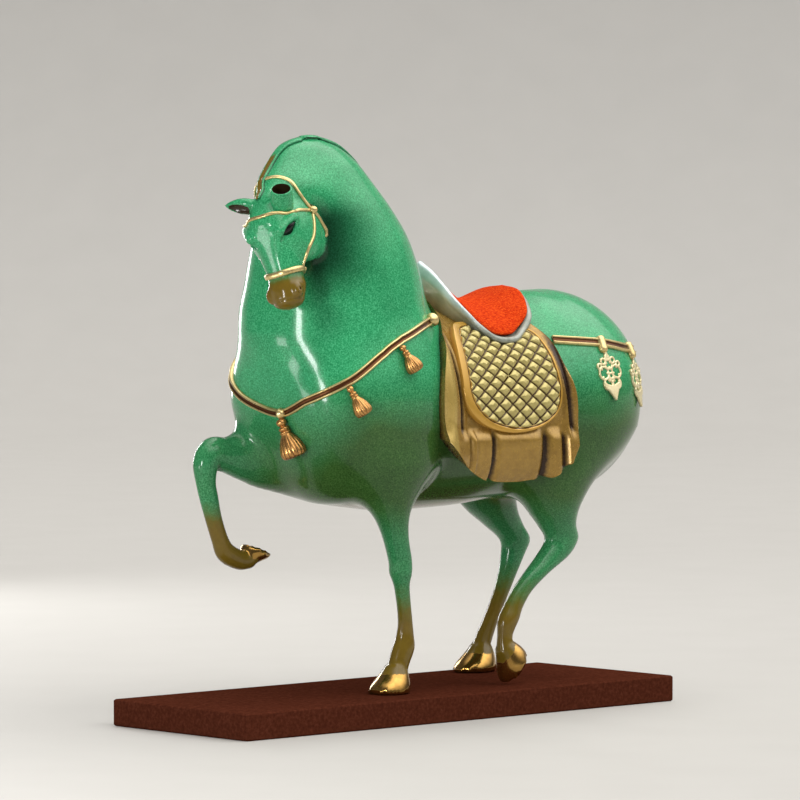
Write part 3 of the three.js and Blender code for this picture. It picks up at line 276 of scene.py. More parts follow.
def limb(joints, fine=6):
    """An oval tube through joints: x, y, z, half depth in the walking direction, half width."""
    rows = through(joints, np.linspace(0, len(joints) - 1, (len(joints) - 1) * fine + 1))
    line = rows[:, :3]
    aims = unit(np.concatenate([line[1:], line[-1:]]) - np.concatenate([line[:1], line[:-1]]))

    def field(p):
        nearest = np.full(len(p), np.inf)
        at = np.zeros(len(p), int)
        share = np.zeros(len(p))
        for i in range(len(line) - 1):
            step = line[i + 1] - line[i]
            t = np.clip((p - line[i]) @ step / (step @ step), 0, 1)
            gap = ((p - line[i] - t[:, None] * step) ** 2).sum(1)
            closer = gap < nearest
            nearest[closer] = gap[closer]
            at[closer] = i
            share[closer] = t[closer]
        here = rows[at] + share[:, None] * (rows[at + 1] - rows[at])
        aim = unit(aims[at] + share[:, None] * (aims[at + 1] - aims[at]))
        away = p - here[:, :3]
        along = (away * aim).sum(1)
        left = unit(aim * aim[:, 1:2] - np.array([0, 1, 0]))
        side = (away * left).sum(1)
        front = np.linalg.norm(away - along[:, None] * aim - side[:, None] * left, axis=1)
        deep, wide = here[:, 3], here[:, 4]
        return outside(along, side, front, (deep + wide) / 2, wide, deep)

    widest = rows[:, 3:].max()
    return only_near(field, line.min(0) - widest, line.max(0) + widest, 22)


def hoof_axes(toe, heel):
    """The middle of the sole, and the ways back, and up from the sole."""
    toe = np.asarray(toe, float)
    heel = np.asarray(heel, float)
    back = unit(heel - toe)
    up = unit(np.cross(back, (0, 1, 0)))
    # Up is upwards for a flat sole, and forwards for one that is tipped.
    way = up[2] if abs(back[2]) < 0.2 else -up[0]
    return (toe + heel) / 2, back, up * np.sign(way)


def hoof(toe, heel, height, half):
    """A hoof on its sole from toe to heel: the wall slopes back from the toe and the sole is flat."""
    middle, back, up = hoof_axes(toe, heel)
    reach = np.linalg.norm(np.subtract(heel, toe)) / 2
    wall = stack(
        [
            (0, 0, 0, reach, half),
            (height * 0.35, reach * 0.13, 0, reach * 0.9, half * 0.93),
            (height * 0.75, reach * 0.32, 0, reach * 0.66, half * 0.72),
            (height, reach * 0.4, 0, reach * 0.5, half * 0.56),
        ],
        (3, 3),
        (0, 1, 2),
    )

    def field(p):
        away = p - middle
        local = np.stack([away @ up, away @ back, away[:, 1]], 1)
        return np.maximum(wall(local), -local[:, 0])

    return only_near(field, middle - reach - height, middle + reach + height)


def head_axes():
    """The head's own axes: down the face, forwards out of the face, and out to the horse's left."""
    turn = math.radians(HEAD["turn"])
    forward = Vector((-math.cos(turn), -math.sin(turn), 0))
    left = Vector((math.sin(turn), -math.cos(turn), 0))
    tuck = Matrix.Rotation(math.radians(HEAD["tuck"]), 3, left)
    down = tuck @ Vector((0, 0, -1))
    forward = tuck @ forward
    lean = Matrix.Rotation(math.radians(HEAD["lean"]), 3, forward)
    return np.array([lean @ down, forward, lean @ left])


HEAD_AXES = head_axes()


def in_head(p):
    """The horse's points in the head's own frame."""
    return (p - np.array(HEAD["poll"], float)) @ HEAD_AXES.T


def from_head(q):
    """Points of the head's own frame, back on the horse."""
    return np.asarray(q, float) @ HEAD_AXES + np.array(HEAD["poll"], float)


def rod(q, start, end, radius):
    """A round-ended rod."""
    step = np.subtract(end, start)
    share = np.clip((q - start) @ step / (step @ step), 0, 1)
    return np.linalg.norm(q - start - share[:, None] * step, axis=1) - radius


def beside(q, root, aim):
    """How far points lie along an axis, and what is left of them across it."""
    away = q - root
    along = away @ aim
    return along, away - along[:, None] * aim


def leaf_parts(q):
    """Along the right ear, how deep towards its mouth, how broad, and its half breadth there."""
    aim = unit(LEAF["aim"])
    mouth = np.array(LEAF_MOUTH)
    mouth = unit(mouth - (mouth @ aim) * aim)
    along, aside = beside(q, LEAF["root"], aim)
    share = np.clip(along / LEAF["length"], 0, 1)
    fat = np.maximum(LEAF["radius"] * np.sin(np.pi * (0.28 + 0.72 * share)) ** 0.8, LEAF["point"])
    deep = aside @ mouth
    broad = np.linalg.norm(aside - deep[:, None] * mouth, axis=1)
    return along, deep, broad, fat


def leaf_hollow(q):
    """How far points are outside the hollow of the right ear."""
    along, deep, broad, fat = leaf_parts(q)
    far = np.sqrt((broad / 0.8) ** 2 + ((deep - fat * 0.9) * 1.1) ** 2 + ((along - 11) / 2.1) ** 2)
    return far - fat * 0.95


def leaf(q):
    """The right ear: fullest in its middle, drawn to a point, with a hollow along its underside."""
    along, deep, broad, fat = leaf_parts(q)
    past = along - np.clip(along, 0, LEAF["length"])
    return carve(np.sqrt(broad**2 + (deep * 1.35) ** 2 + past**2) - fat, leaf_hollow(q), 0.7)


def eye_axes():
    """The middle of the left eye, and its ways along, across and out."""
    start, end = (np.array(c, float) for c in EYE["corners"])
    along = unit(end - start)
    out = unit(np.cross(along, np.cross((0, 0.55, 0.85), along)))
    return (start + end) / 2, along, np.cross(out, along), out


def almond(half):
    """How far a point lies outside an eye's outline, and how far before or behind its plane."""
    middle, along, across, out = eye_axes()
    away = half - middle
    run, rise, deep = away @ along, away @ across, away @ out
    long, high = EYE["long"], EYE["high"]
    arc = (long**2 + high**2) / (2 * high)
    outline = np.maximum(np.hypot(run, rise + arc - high), np.hypot(run, rise - arc + high)) - arc
    return outline, deep


skull = stack(SKULL, SKULL_ENDS, (0, 1, 2))


def bare_head(q):
    """The skull with its cheeks, nose and brows, before the eyes and ears."""
    u, v, w = q.T
    half = np.stack([u, v, np.abs(w)], 1)
    d = skull(q)
    middle, radii, reach = CHEEK
    d = melt(d, ellipsoid(middle, radii)(half), reach)
    # The nose is planed flat, with an edge down either side.
    (u0, v0), (u1, v1) = NOSE
    slope = (v1 - v0) / (u1 - u0)
    plane = (v - v0 - slope * (u - u0)) / math.hypot(1, slope)
    planed = carve(d, -plane, 1.6)
    d = d + (planed - d) * smooth(16, 24, u) * smooth(60, 52, u)
    start, end, radius, reach = BROW
    return melt(d, rod(half, start, end, radius), reach)


def head_shape(q):
    """The head in its own frame: eye hollows, nostrils, mouth and ears are added to the bare head."""
    u, v, w = q.T
    half = np.stack([u, v, np.abs(w)], 1)
    d = bare_head(q)
    # The eye lies in an almond hollow with a raised lid about it.
    outline, deep = almond(half)
    d = d - 0.4 * np.exp(-(((outline - 0.6) / 0.9) ** 2)) * smooth(6, 4, np.abs(deep))
    hollow = np.maximum(np.maximum(outline, -d - 1.3), np.abs(deep) - 6)
    d = carve(d, hollow, 0.4)
    # Nostrils, each with a raised rim.
    gap = half - NOSTRIL
    d = melt(d, outside(*gap.T, 4.0, 3.0, 2.6), 3)
    d = carve(d, outside(*gap.T, 1.9, 1.4, 2.4), 0.8)
    # The mouth, a cut from one cheek round to the other.
    mouth = np.hypot(u - 67 + 0.12 * v, np.maximum(-d, 0) * 0.6)
    d = np.where(v > -8, np.maximum(d, 0.45 - mouth), d)
    return melt(d, leaf(q), 2.2)


trunk = stack(TRUNK, TRUNK_ENDS, (0, 1, 2))
neck = stack(NECK, (20, 1), (2, 0, 1))
muscles = []
for middle, radii, reach in MUSCLES:
    low, high = np.subtract(middle, radii), np.add(middle, radii)
    muscles.append((only_near(ellipsoid(middle, radii), low, high), reach))
legs = [stack(rows, (5, 18), (2, 0, 1)) for rows in (LEFT_FORE, LEFT_HIND, RIGHT_HIND)] + [limb(RIGHT_FORE)]
tail = limb(TAIL)
hooves = [hoof(*sizes) for sizes in HOOVES.values()]
mid_head = from_head((35, 0, 0))
head = only_near(lambda p: head_shape(in_head(p)), mid_head - 50, mid_head + 50, 10)


def body_field(p):
    """The body with its neck and legs, which is all that the tack lies on."""
    d = melt(trunk(p), neck(p), 30)
    for part, reach in muscles:
        d = melt(d, part(p), reach)
    for leg in legs:
        d = melt(d, leg(p), 14)
    return d


def horse_field(p):
    """The whole casting: below zero inside the horse."""
    d = melt(body_field(p), tail(p), 5)
    for part in hooves:
        d = np.minimum(d, part(p))
    return melt(d, head(p), 6)


def slope_of(field, p, step=0.4):
    """Which way, and how fast, the field grows at each point."""
    sides = np.concatenate([p + step * np.eye(3)[k] * way for k in range(3) for way in (1, -1)])
    values = field(sides).reshape(6, len(p))
    return ((values[0::2] - values[1::2]) / (2 * step)).T


def settle(field, p, passes=3, high=0.0, most=1.5):
    """Moves points along the field's slope to where its value is high."""
    p = np.array(p, float)
    for _ in range(passes):
        slope = slope_of(field, p)
        move = (field(p) - high)[:, None] * slope / np.maximum((slope**2).sum(1), 0.05)[:, None]
        length = np.linalg.norm(move, axis=1, keepdims=True)
        p -= move * np.minimum(1, most / np.maximum(length, 1e-9))
    return p


# The surface is looked for in cubes of this many grid lines each way.
BLOCK = 4


def sampled(field, axes):
    """The field over a grid: worked out near its surface, and only its sign elsewhere."""
    axes = [np.concatenate([a, a[-1] + (a[-1] - a[-2]) * np.arange(1, -len(a) % BLOCK + 1)]) for a in axes]
    blocks = [a.reshape(-1, BLOCK) for a in axes]
    middles = np.stack(np.meshgrid(*[b.mean(1) for b in blocks], indexing="ij"), -1).reshape(-1, 3)
    reaches = [b[:, -1] - b[:, 0] + (b[:, 1] - b[:, 0]) for b in blocks]
    reach = np.sqrt(sum(r**2 for r in np.meshgrid(*reaches, indexing="ij"))).reshape(-1)
    rough = field(middles)
    live = np.flatnonzero(np.abs(rough) < reach)
    counts = [len(b) for b in blocks]
    values = np.repeat(np.where(rough < 0, -1e3, 1e3)[:, None], BLOCK**3, 1)
    at = np.unravel_index(live, counts)
    shape = (len(live), BLOCK, BLOCK, BLOCK)
    x = np.broadcast_to(blocks[0][at[0]][:, :, None, None], shape)
    y = np.broadcast_to(blocks[1][at[1]][:, None, :, None], shape)
    z = np.broadcast_to(blocks[2][at[2]][:, None, None, :], shape)
    values[live] = field(np.stack([x, y, z], -1).reshape(-1, 3)).reshape(len(live), -1)
    grid = values.reshape(*counts, BLOCK, BLOCK, BLOCK).transpose(0, 3, 1, 4, 2, 5)
    return grid.reshape([len(a) for a in axes]), axes


def skin_of(field, axes, passes=2):
    """The surface where the field is zero, as points and four-cornered faces."""
    values, axes = sampled(field, axes)
    inside = values < 0
    shape = [n - 1 for n in values.shape]
    corners = [(i, j, k) for i in (0, 1) for j in (0, 1) for k in (0, 1)]

    def corner(grid, c):
        return grid[tuple(slice(o, o + n) for o, n in zip(c, shape))]

    full = sum(corner(inside, c).astype(np.int8) for c in corners)
    cells = np.argwhere((full > 0) & (full < 8))
    place = [a[cells[:, k]] for k, a in enumerate(axes)]
    size = [a[cells[:, k] + 1] - a[cells[:, k]] for k, a in enumerate(axes)]
    total = np.zeros((len(cells), 3))
    count = np.zeros(len(cells))
    at = {c: values[tuple((cells + c).T)] for c in corners}
    for c in corners:
        for axis in range(3):
            if c[axis]:
                continue
            other = tuple(1 if k == axis else c[k] for k in range(3))
            a, b = at[c], at[other]
            cross = (a < 0) != (b < 0)
            t = np.where(cross, a / np.where(a == b, 1, a - b), 0)
            for k in range(3):
                total[:, k] += cross * (t if k == axis else c[k])
            count += cross
    share = total / count[:, None]
    points = np.stack([place[k] + share[:, k] * size[k] for k in range(3)], 1)
    points = settle(field, points, passes, most=0.4 * float(np.mean([s.mean() for s in size])))
    number = np.full(shape, -1, np.int32)
    number[tuple(cells.T)] = np.arange(len(cells))
    faces = []
    for axis in range(3):
        one, two = [k for k in range(3) if k != axis]
        low = [slice(1, n) for n in shape]
        low[axis] = slice(0, shape[axis])
        here = inside[tuple(low)]
        high = list(low)
        high[axis] = slice(1, shape[axis] + 1)
        there = inside[tuple(high)]
        edges = np.argwhere(here != there)
        start = edges + [0 if k == axis else 1 for k in range(3)]
        flips = here[tuple(edges.T)]
        ring = []
        for a, b in ((1, 1), (0, 1), (0, 0), (1, 0)):
            back = np.zeros(3, int)
            back[one], back[two] = a, b
            ring.append(number[tuple((start - back).T)])
        ring = np.stack(ring, 1)
        if axis == 1:
            flips = ~flips
        ring[~flips] = ring[~flips][:, ::-1]
        faces.append(ring)
    faces = np.concatenate(faces)
    return points, faces[(faces >= 0).all(1)]


def grid_lines(low, high, cell, fine=None):
    """Grid places from low to high, closer together between the ends of fine = (from, to, cell)."""
    if not fine:
        return np.arange(low, high + cell, cell)
    start, end, small = fine
    before = np.arange(start, low - cell, -cell)[::-1]
    between = np.arange(start + small, end, small)
    after = np.arange(between[-1] + small, high + cell, cell)
    return np.concatenate([before, between, after])


def add_mesh(name, points, faces, material, marks=None):
    """A smooth object from points in metres, with its marks kept on the first of its points."""
    mesh = bpy.data.meshes.new(name)
    mesh.from_pydata(points.tolist(), [], [list(map(int, f)) for f in faces])
    for label, values in (marks or {}).items():
        kept = np.zeros(len(points), np.float32)
        kept[: len(values)] = values
        mesh.attributes.new(label, "FLOAT", "POINT").data.foreach_set("value", kept)
    mesh.validate()
    mesh.shade_smooth()
    mesh.materials.append(material)
    obj = bpy.data.objects.new(name, mesh)
    bpy.context.scene.collection.objects.link(obj)
    return obj


def build(name, points, faces, material, node, stands_in=True, marks=None):
    """A piece from points in millimetres: it rides on the casting and stands in for the CAD node named."""
    obj = add_mesh(name, np.asarray(points, float) * MM, faces, material, marks)
    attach(obj, "root")
    if stands_in:
        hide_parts(node)


def grid_faces(rows, columns, closed=False):
    """Four-cornered faces over a grid of points; closed joins the last column to the first."""
    i, j = np.meshgrid(np.arange(rows - 1), np.arange(columns if closed else columns - 1), indexing="ij")
    here, below = i.ravel() * columns, (i.ravel() + 1) * columns
    j = j.ravel()
    k = (j + 1) % columns
    return np.stack([here + j, here + k, below + k, below + j], 1)


def skinned(rings, capped=True):
    """Points and faces over closed rings of points, with each end closed by a fan."""
    rings = np.asarray(rings, float)
    count, around = rings.shape[:2]
    points = rings.reshape(-1, 3)
    faces = grid_faces(count, around, closed=True).tolist()
    if capped:
        points = np.concatenate([points, [rings[0].mean(0), rings[-1].mean(0)]])
        first, last = len(points) - 2, len(points) - 1
        top = (count - 1) * around
        faces += [[first, (k + 1) % around, k] for k in range(around)]
        faces += [[last, top + k, top + (k + 1) % around] for k in range(around)]
    return points, faces


def joined(parts):
    """Several (points, faces) as one."""
    points, faces, start = [], [], 0
    for p, f in parts:
        points.append(p)
        faces += [[v + start for v in face] for face in f]
        start += len(p)
    return np.concatenate(points), faces


def swept(path, ups, profile):
    """A bar along a path: profile rows of (across, high) squared to the path and the ups."""
    ahead = unit(np.gradient(path, axis=0))
    side = unit(np.cross(ahead, ups))
    up = unit(np.cross(side, ahead))
    across, high = profile[None, :, :1], profile[None, :, 1:]
    return skinned(path[:, None] + across * side[:, None] + high * up[:, None])


def turned(start, end, profile, sides=24, wave=lambda share, turn: 1):
    """A turned body along an axis: profile rows of (share of its length, radius), rippled by wave."""
    axis = end - start
    one = unit(np.cross(unit(axis), (0.3, 0.9, 0.1)))
    two = np.cross(unit(axis), one)
    turns = np.linspace(0, 2 * np.pi, sides, endpoint=False)
    spokes = np.cos(turns)[:, None] * one + np.sin(turns)[:, None] * two
    rings = []
    for share, radius in profile:
        reach = (radius * wave(share, turns) * np.ones(sides))[:, None]
        rings.append(start + axis * share + reach * spokes)
    return skinned(rings)


def rounded(rows, fine):
    """Profile rows with more rows between, on a smooth curve through them."""
    return through(rows, np.linspace(0, len(rows) - 1, (len(rows) - 1) * fine + 1))


def skin_reach(starts, aims):
    """How far along each ray from inside the body its skin is."""
    starts, aims = np.broadcast_arrays(np.asarray(starts, float), np.asarray(aims, float))
    steps = np.arange(0, 140, 4.0)
    tries = starts[:, None] + aims[:, None] * steps[None, :, None]
    values = body_field(tries.reshape(-1, 3)).reshape(len(starts), -1)
    out = values > 0
    out[:, 0] = False
    first = out.argmax(1)
    inner, outer = steps[first - 1], steps[first]
    for _ in range(14):
        middle = (inner + outer) / 2
        inside = body_field(starts + aims * middle[:, None]) < 0
        inner = np.where(inside, middle, inner)
        outer = np.where(inside, outer, middle)
    return inner


def skin_normal(p):
    """The way straight out of the casting at each point."""
    return unit(slope_of(horse_field, p, 0.6))


def over_back(x, turn, high):
    """Points over the back: x, the turn from the top in degrees (left positive), the height over the skin."""
    x, turn, high = np.broadcast_arrays(*(np.asarray(v, float) for v in (x, turn, high)))
    shape = x.shape
    x, turn, high = x.ravel(), np.radians(turn.ravel()), high.ravel()
    aims = np.stack([np.zeros(len(x)), -np.sin(turn), np.cos(turn)], 1)
    starts = np.stack([x, np.zeros(len(x)), np.full(len(x), BODY_AXIS)], 1)
    reach = skin_reach(starts, aims) + high
    return (starts + aims * reach[:, None]).reshape(*shape, 3)


class Look:
    """One procedural material, wired a node at a time onto its shader."""

    def __init__(self, name, **shader):
        self.material = bpy.data.materials.new(name)
        self.material.use_nodes = True
        self.nodes = self.material.node_tree.nodes
        self.links = self.material.node_tree.links
        self.shader = self.nodes["Principled BSDF"]
        for socket, value in shader.items():
            self.set(socket.replace("_", " "), value)
        self.place = self.nodes.new("ShaderNodeTexCoord").outputs["Object"]

    def put(self, value, socket):
        """Gives a socket another node's output, a colour or a number."""
        if isinstance(value, bpy.types.NodeSocket):
            self.links.new(value, socket)
        elif isinstance(value, tuple):
            socket.default_value = (*value, 1)
        else:
            socket.default_value = value

    def noise(self, size, detail=2.0, rough=0.5, stretch=None):
        """Noise whose lumps are about size millimetres."""
        node = self.nodes.new("ShaderNodeTexNoise")
        node.inputs["Scale"].default_value = 1 / (size * MM)
        node.inputs["Detail"].default_value = detail
        node.inputs["Roughness"].default_value = rough
        place = self.place
        if stretch:
            scale = self.nodes.new("ShaderNodeMapping")
            scale.inputs["Scale"].default_value = stretch
            self.links.new(place, scale.inputs["Vector"])
            place = scale.outputs["Vector"]
        self.links.new(place, node.inputs["Vector"])
        return node.outputs["Fac"]

    def specks(self, size):
        """How far each point is from scattered ones about size millimetres apart."""
        node = self.nodes.new("ShaderNodeTexVoronoi")
        node.inputs["Scale"].default_value = 1 / (size * MM)
        self.links.new(self.place, node.inputs["Vector"])
        return node.outputs["Distance"]

    def mark(self, name):
        """A value kept on the mesh's points."""
        node = self.nodes.new("ShaderNodeAttribute")
        node.attribute_name = name
        return node.outputs["Fac"]

    def blotched(self, name, noise, much):
        """A mark, with its edges broken up by noise."""
        return self.maths("ADD", self.mark(name), self.maths("MULTIPLY_ADD", noise, much, -much / 2))

    def ramp(self, value, *stops):
        """A value turned into a colour or a number by stops of (place, colour or number)."""
        node = self.nodes.new("ShaderNodeValToRGB")
        band = node.color_ramp
        while len(band.elements) < len(stops):
            band.elements.new(0.5)
        for element, (place, colour) in zip(band.elements, stops):
            element.position = place
            element.color = (*colour, 1) if isinstance(colour, tuple) else (colour, colour, colour, 1)
        self.links.new(value, node.inputs["Fac"])
        return node.outputs["Color"]

    def rise(self, value, low, high):
        """0 where the value is below low, 1 where it is above high."""
        return self.ramp(value, (low, 0.0), (high, 1.0))

    def tints(self, noise, *colours):
        """Noise turned into colours, from its darkest lumps to its brightest."""
        places = np.linspace(0.3, 0.7, len(colours))
        return self.ramp(noise, *[(place, srgb(*colour)) for place, colour in zip(places, colours)])

    def mix(self, share, one, two, way="MIX"):
        """Two colours mixed by a share, or multiplied."""
        node = self.nodes.new("ShaderNodeMix")
        node.data_type = "RGBA"
        node.blend_type = way
        self.put(share, node.inputs[0])
        self.put(one, node.inputs[6])
        self.put(two, node.inputs[7])
        return node.outputs[2]

    def maths(self, way, one, two=0.0, three=0.0):
        """Sums on values."""
        node = self.nodes.new("ShaderNodeMath")
        node.operation = way
        for socket, value in zip(node.inputs, (one, two, three)):
            self.put(value, socket)
        return node.outputs[0]

    def bump(self, high, strength, distance=0.1):
        """Fine relief, its depth in millimetres."""
        node = self.nodes.new("ShaderNodeBump")
        node.inputs["Strength"].default_value = strength
        node.inputs["Distance"].default_value = distance * MM
        self.links.new(high, node.inputs["Height"])
        self.links.new(node.outputs["Normal"], self.shader.inputs["Normal"])

    def set(self, socket, value):
        """Sets one of the shader's own sockets."""
        self.put(value, self.shader.inputs[socket])


def srgb(*steps):
    """A colour given in the 0 to 255 steps of a screen."""
    shares = [step / 255 for step in steps]
    return tuple(c / 12.92 if c < 0.0404 else ((c + 0.055) / 1.055) ** 2.4 for c in shares)


def patina_look():
    """Finely speckled green enamel, olive below, gold on the muzzle and lower legs, with bright hooves, and
    painted shade beside the head, along the mane's edges and in the ears' hollows.
    """
    look = Look("patina", Roughness=0.18, Specular_IOR_Level=0.2, Coat_Weight=0.2, Coat_Roughness=0.05)
    grain = look.noise(0.9, 2, 0.6)
    cloud = look.noise(24, 3, 0.5)
    bright = look.tints(grain, (30, 122, 74), (50, 150, 98), (80, 178, 126))
    olive = look.tints(grain, (34, 68, 26), (50, 86, 38), (70, 106, 54))
    green = look.mix(look.rise(look.blotched("low", cloud, 0.3), 0.1, 0.9), bright, olive)
    green = look.mix(1.0, green, look.ramp(cloud, (0.3, 0.86), (0.7, 1.08)), "MULTIPLY")
    wear = look.blotched("gilt", look.noise(6, 4, 0.6), 0.3)
    gold = look.mix(look.noise(3.5, 4, 0.6), srgb(68, 56, 14), srgb(112, 98, 34))
    fade = look.ramp(wear, (0.15, srgb(58, 96, 40)), (0.5, srgb(92, 98, 34)), (0.8, srgb(112, 88, 26)))
    base = look.mix(look.rise(wear, 0.1, 0.6), green, look.mix(0.45, fade, gold))
    brass = look.mix(look.noise(5, 3, 0.5), srgb(128, 92, 38), srgb(190, 150, 78))
    on_hoof = look.rise(look.mark("brass"), 0.35, 0.65)
    base = look.mix(on_hoof, base, brass)
    # Painted shade: the 'deep' mark darkens the green beside the head and along the mane's edges.
    base = look.mix(look.mark("deep"), base, look.mix(1.0, base, srgb(84, 104, 100), "MULTIPLY"))
    # Painted shade: dark brown in the ears' hollows.
    base = look.mix(look.rise(look.mark("shade"), 0.3, 0.7), base, srgb(46, 36, 20))
    look.set("Base Color", base)
    look.set("Metallic", look.maths("MULTIPLY", on_hoof, 0.95))
    look.bump(look.noise(1.6, 2, 0.5), 0.06)
    return look.material


def gold_look(name, dark, light, low, border, metallic, rough):
    """Gilding: bright where it stands proud, painted dark brown in its hollows as shade, and of one even
    colour on its borders.
    """
    look = Look(name, Metallic=metallic)
    body = look.mix(look.noise(4, 4, 0.6), srgb(*dark), srgb(*light))
    if border:
        body = look.mix(look.rise(look.mark("border"), 0.3, 0.7), body, srgb(*border))
    # The hollows are painted dark brown as shade, their edges broken up by noise.
    hollow = look.blotched("hollow", look.noise(2.4, 4, 0.6), 0.5)
    look.set("Base Color", look.mix(look.rise(hollow, 0.32, 0.85), body, srgb(*low)))
    look.set("Roughness", look.maths("MULTIPLY_ADD", look.noise(3, 3, 0.6), 0.2, rough - 0.1))
    look.bump(look.noise(0.9, 3, 0.6), 0.25)
    return look.material


def seat_look():
    """Red with a fine fibrous grain."""
    look = Look("red_seat", Roughness=0.8, Specular_IOR_Level=0.02)
    fibre = look.noise(0.7, 3, 0.7, stretch=(0.35, 1.0, 1.0))
    look.set("Base Color", look.tints(fibre, (140, 22, 6), (194, 54, 14), (220, 92, 30)))
    look.bump(fibre, 0.5, 0.15)
    return look.material


def silver_look():
    """Silver paint, with a painted highlight that makes it pale at the pommel and painted shade that makes it
    grey along the sides.
    """
    look = Look("silver", Metallic=0.1, Roughness=0.3)
    cloud = look.noise(9, 4, 0.6)
    painted_shade = look.tints(cloud, (104, 108, 96), (154, 160, 150))
    painted_light = look.tints(cloud, (196, 212, 216), (230, 240, 242))
    look.set("Base Color", look.mix(look.mark("painted_light"), painted_shade, painted_light))
    look.bump(look.noise(1.2, 3, 0.6), 0.2)
    return look.material


def plinth_look():
    """Dark brown lacquer, faintly mottled."""
    look = Look("lacquer", Roughness=0.5, Specular_IOR_Level=0.0)
    mottle = look.tints(look.noise(2.2, 4, 0.6), (60, 28, 18), (70, 34, 22), (82, 42, 30))
    speck = look.ramp(look.specks(1.8), (0.08, 0.25), (0.2, 0.0))
    look.set("Base Color", look.mix(speck, mottle, srgb(34, 16, 12)))
    look.bump(look.noise(1.2, 3, 0.6), 0.2)
    return look.material


def plain_look(name, size, dark, light, **shader):
    """One even colour, faintly clouded."""
    look = Look(name, **shader)
    look.set("Base Color", look.tints(look.noise(size), dark, light))
    return look.material


# Gildings: the dark and light of the body, the painted shade in the hollows, any borders, how metallic and
# how rough.
GILDINGS = {
    "strap_gold": ((178, 150, 92), (230, 212, 154), (84, 48, 20), None, 0.75, 0.3),
    # The saddle cloth's border colour is a painted highlight on its front folds.
    "cloth_gold": ((116, 86, 34), (170, 136, 62), (46, 28, 10), (174, 148, 78), 0.35, 0.26),
    "flap_gold": ((150, 136, 76), (196, 182, 116), (66, 44, 16), (184, 142, 58), 0.3, 0.22),
    "pendant_gold": ((196, 176, 120), (250, 240, 200), (60, 46, 24), None, 0.6, 0.3),
    "tassel_gold": ((142, 90, 42), (214, 166, 100), (58, 28, 11), None, 0.8, 0.28),
}
gold = {name: gold_look(name, *tones) for name, tones in GILDINGS.items()}
patina = patina_look()
jet = plain_look("eye_black", 2, (8, 10, 10), (20, 22, 22), Roughness=0.08, Specular_IOR_Level=0.3)


def skin_marks(points):
    """Where the enamel turns olive, gold or brass, and where shade is painted: beside the head and in the
    right ear's hollow.
    """
    x, y, height = points.T
    hoof_gap = np.min([part(points) for part in hooves], axis=0)
    # How far up its nearest hoof each point is, as a share of the hoof's height.
    up_hoof = np.full(len(points), 1.0)
    for toe, heel, tall, _ in HOOVES.values():
        middle, _, upward = hoof_axes(toe, heel)
        away = points - middle
        near = np.linalg.norm(away, axis=1) < 30
        up_hoof[near] = np.minimum(up_hoof, away @ upward / tall)[near]
    nose = in_head(points)
    down_face, _, left = nose.T
    from_head_skin = head_shape(nose)
    on_head = smooth(2, 0.5, from_head_skin)
    muzzle = np.interp(down_face, (44, 52, 57, 66), (0, 0.35, 0.85, 1)) * on_head
    # Gold shows on the lower legs, from the cannon of the raised one down, and faintly along the belly.
    on_raised = (x < -88) & (y > 15)
    raised_cannon = np.where(on_raised, smooth(146, 108, height), 0)
    lower_legs = smooth(98, 44, height) * np.where(on_raised, 0, 0.95)
    belly = smooth(144, 132, height) * smooth(32, 14, np.abs(y)) * smooth(-66, -50, x) * 0.6
    # The green turns olive from the chest down, and less so on the legs and out along the raised one.
    low = smooth(232, 165, height) * (1 - 0.5 * smooth(150, 105, height)) * (1 - 0.5 * smooth(-72, -116, x))
    # Painted shadow of the head, darkening the neck beside the cheek and jaw, below the ears.
    deep = smooth(36, 4, from_head_skin) * (1 - on_head) * smooth(2, 20, down_face) * smooth(-6, 8, left)
    return {
        "gilt": np.maximum.reduce([muzzle, raised_cannon, lower_legs, belly]),
        "brass": smooth(1.2, 0.2, hoof_gap) * smooth(0.82, 0.74, up_hoof),
        "low": low,
        # Painted shade in the hollow of the right ear.
        "shade": smooth(0.8, 0.1, leaf_hollow(nose)) * smooth(-10, -12, left) * 0.8,
        "deep": deep,
    }


# The casting's skin, traced more finely about the head.
grid = [
    grid_lines(-182, 204, 2.3, (-166, -98, 1.0)),
    grid_lines(-78, 78, 2.3, (-66, 2, 1.0)),
    grid_lines(13, 368, 2.3, (256, 346, 1.0)),
]
points, faces = skin_of(horse_field, grid)
build("horse_skin", points, faces, patina, "horse", marks=skin_marks(points))


def mirrored(half):
    """A section's rows from one edge to its middle, carried on to the other edge."""
    return half + [(-across, high) for across, high in half[-2::-1]]


# A strap's section, a channel between two round edges: across and high.
STRAP = mirrored([(-2.3, -1.2), (-2.45, 0.7), (-2.1, 1.9), (-1.5, 2.15), (-1.0, 1.5), (0, 1.1)])
# Each strap runs round a middle, ahead (-1) or behind (1), as far as reach either way. Its drop gives its
# height at each turn; a drop that starts from no turn is the same on both sides.
BREAST = {
    "middle": -45, "way": -1, "reach": 126, "steps": 361, "wide": 1.08,
    "drop": [
        (-126, 248), (-100, 243.5), (-75, 236), (-50, 222), (-27, 205), (-8, 195), (11, 191.5),
        (27, 199), (50, 211.5), (70, 227.5), (84, 236), (106, 243), (126, 246.5),
    ],
}
CRUPPER = {
    "middle": 100, "way": 1, "reach": 106, "steps": 301, "wide": 1.22,
    "drop": [(0, 221), (44, 225.2), (68, 229.8), (106, 232.3)],
}
# Beads on the breast strap: turn, radius and length.
BEADS = [(11, 3.3, 6.4), (125, 4.0, 8.4), (-125, 4.0, 8.4)]
# The clips that hold the pendants: share of the length, and share of the radius.
CLIP = [(0, 0.3), (0.04, 0.75), (0.12, 0.95), (0.25, 1), (0.75, 1), (0.88, 0.95), (0.96, 0.75), (1, 0.3)]
CLIP_SIZE = {"radius": 3.1, "below": 7, "above": 4.4}
PENDANT_TURNS = {"pendant_left": 68, "pendant_left_rear": 43, "pendant_right_rear": -43, "pendant_right": -68}
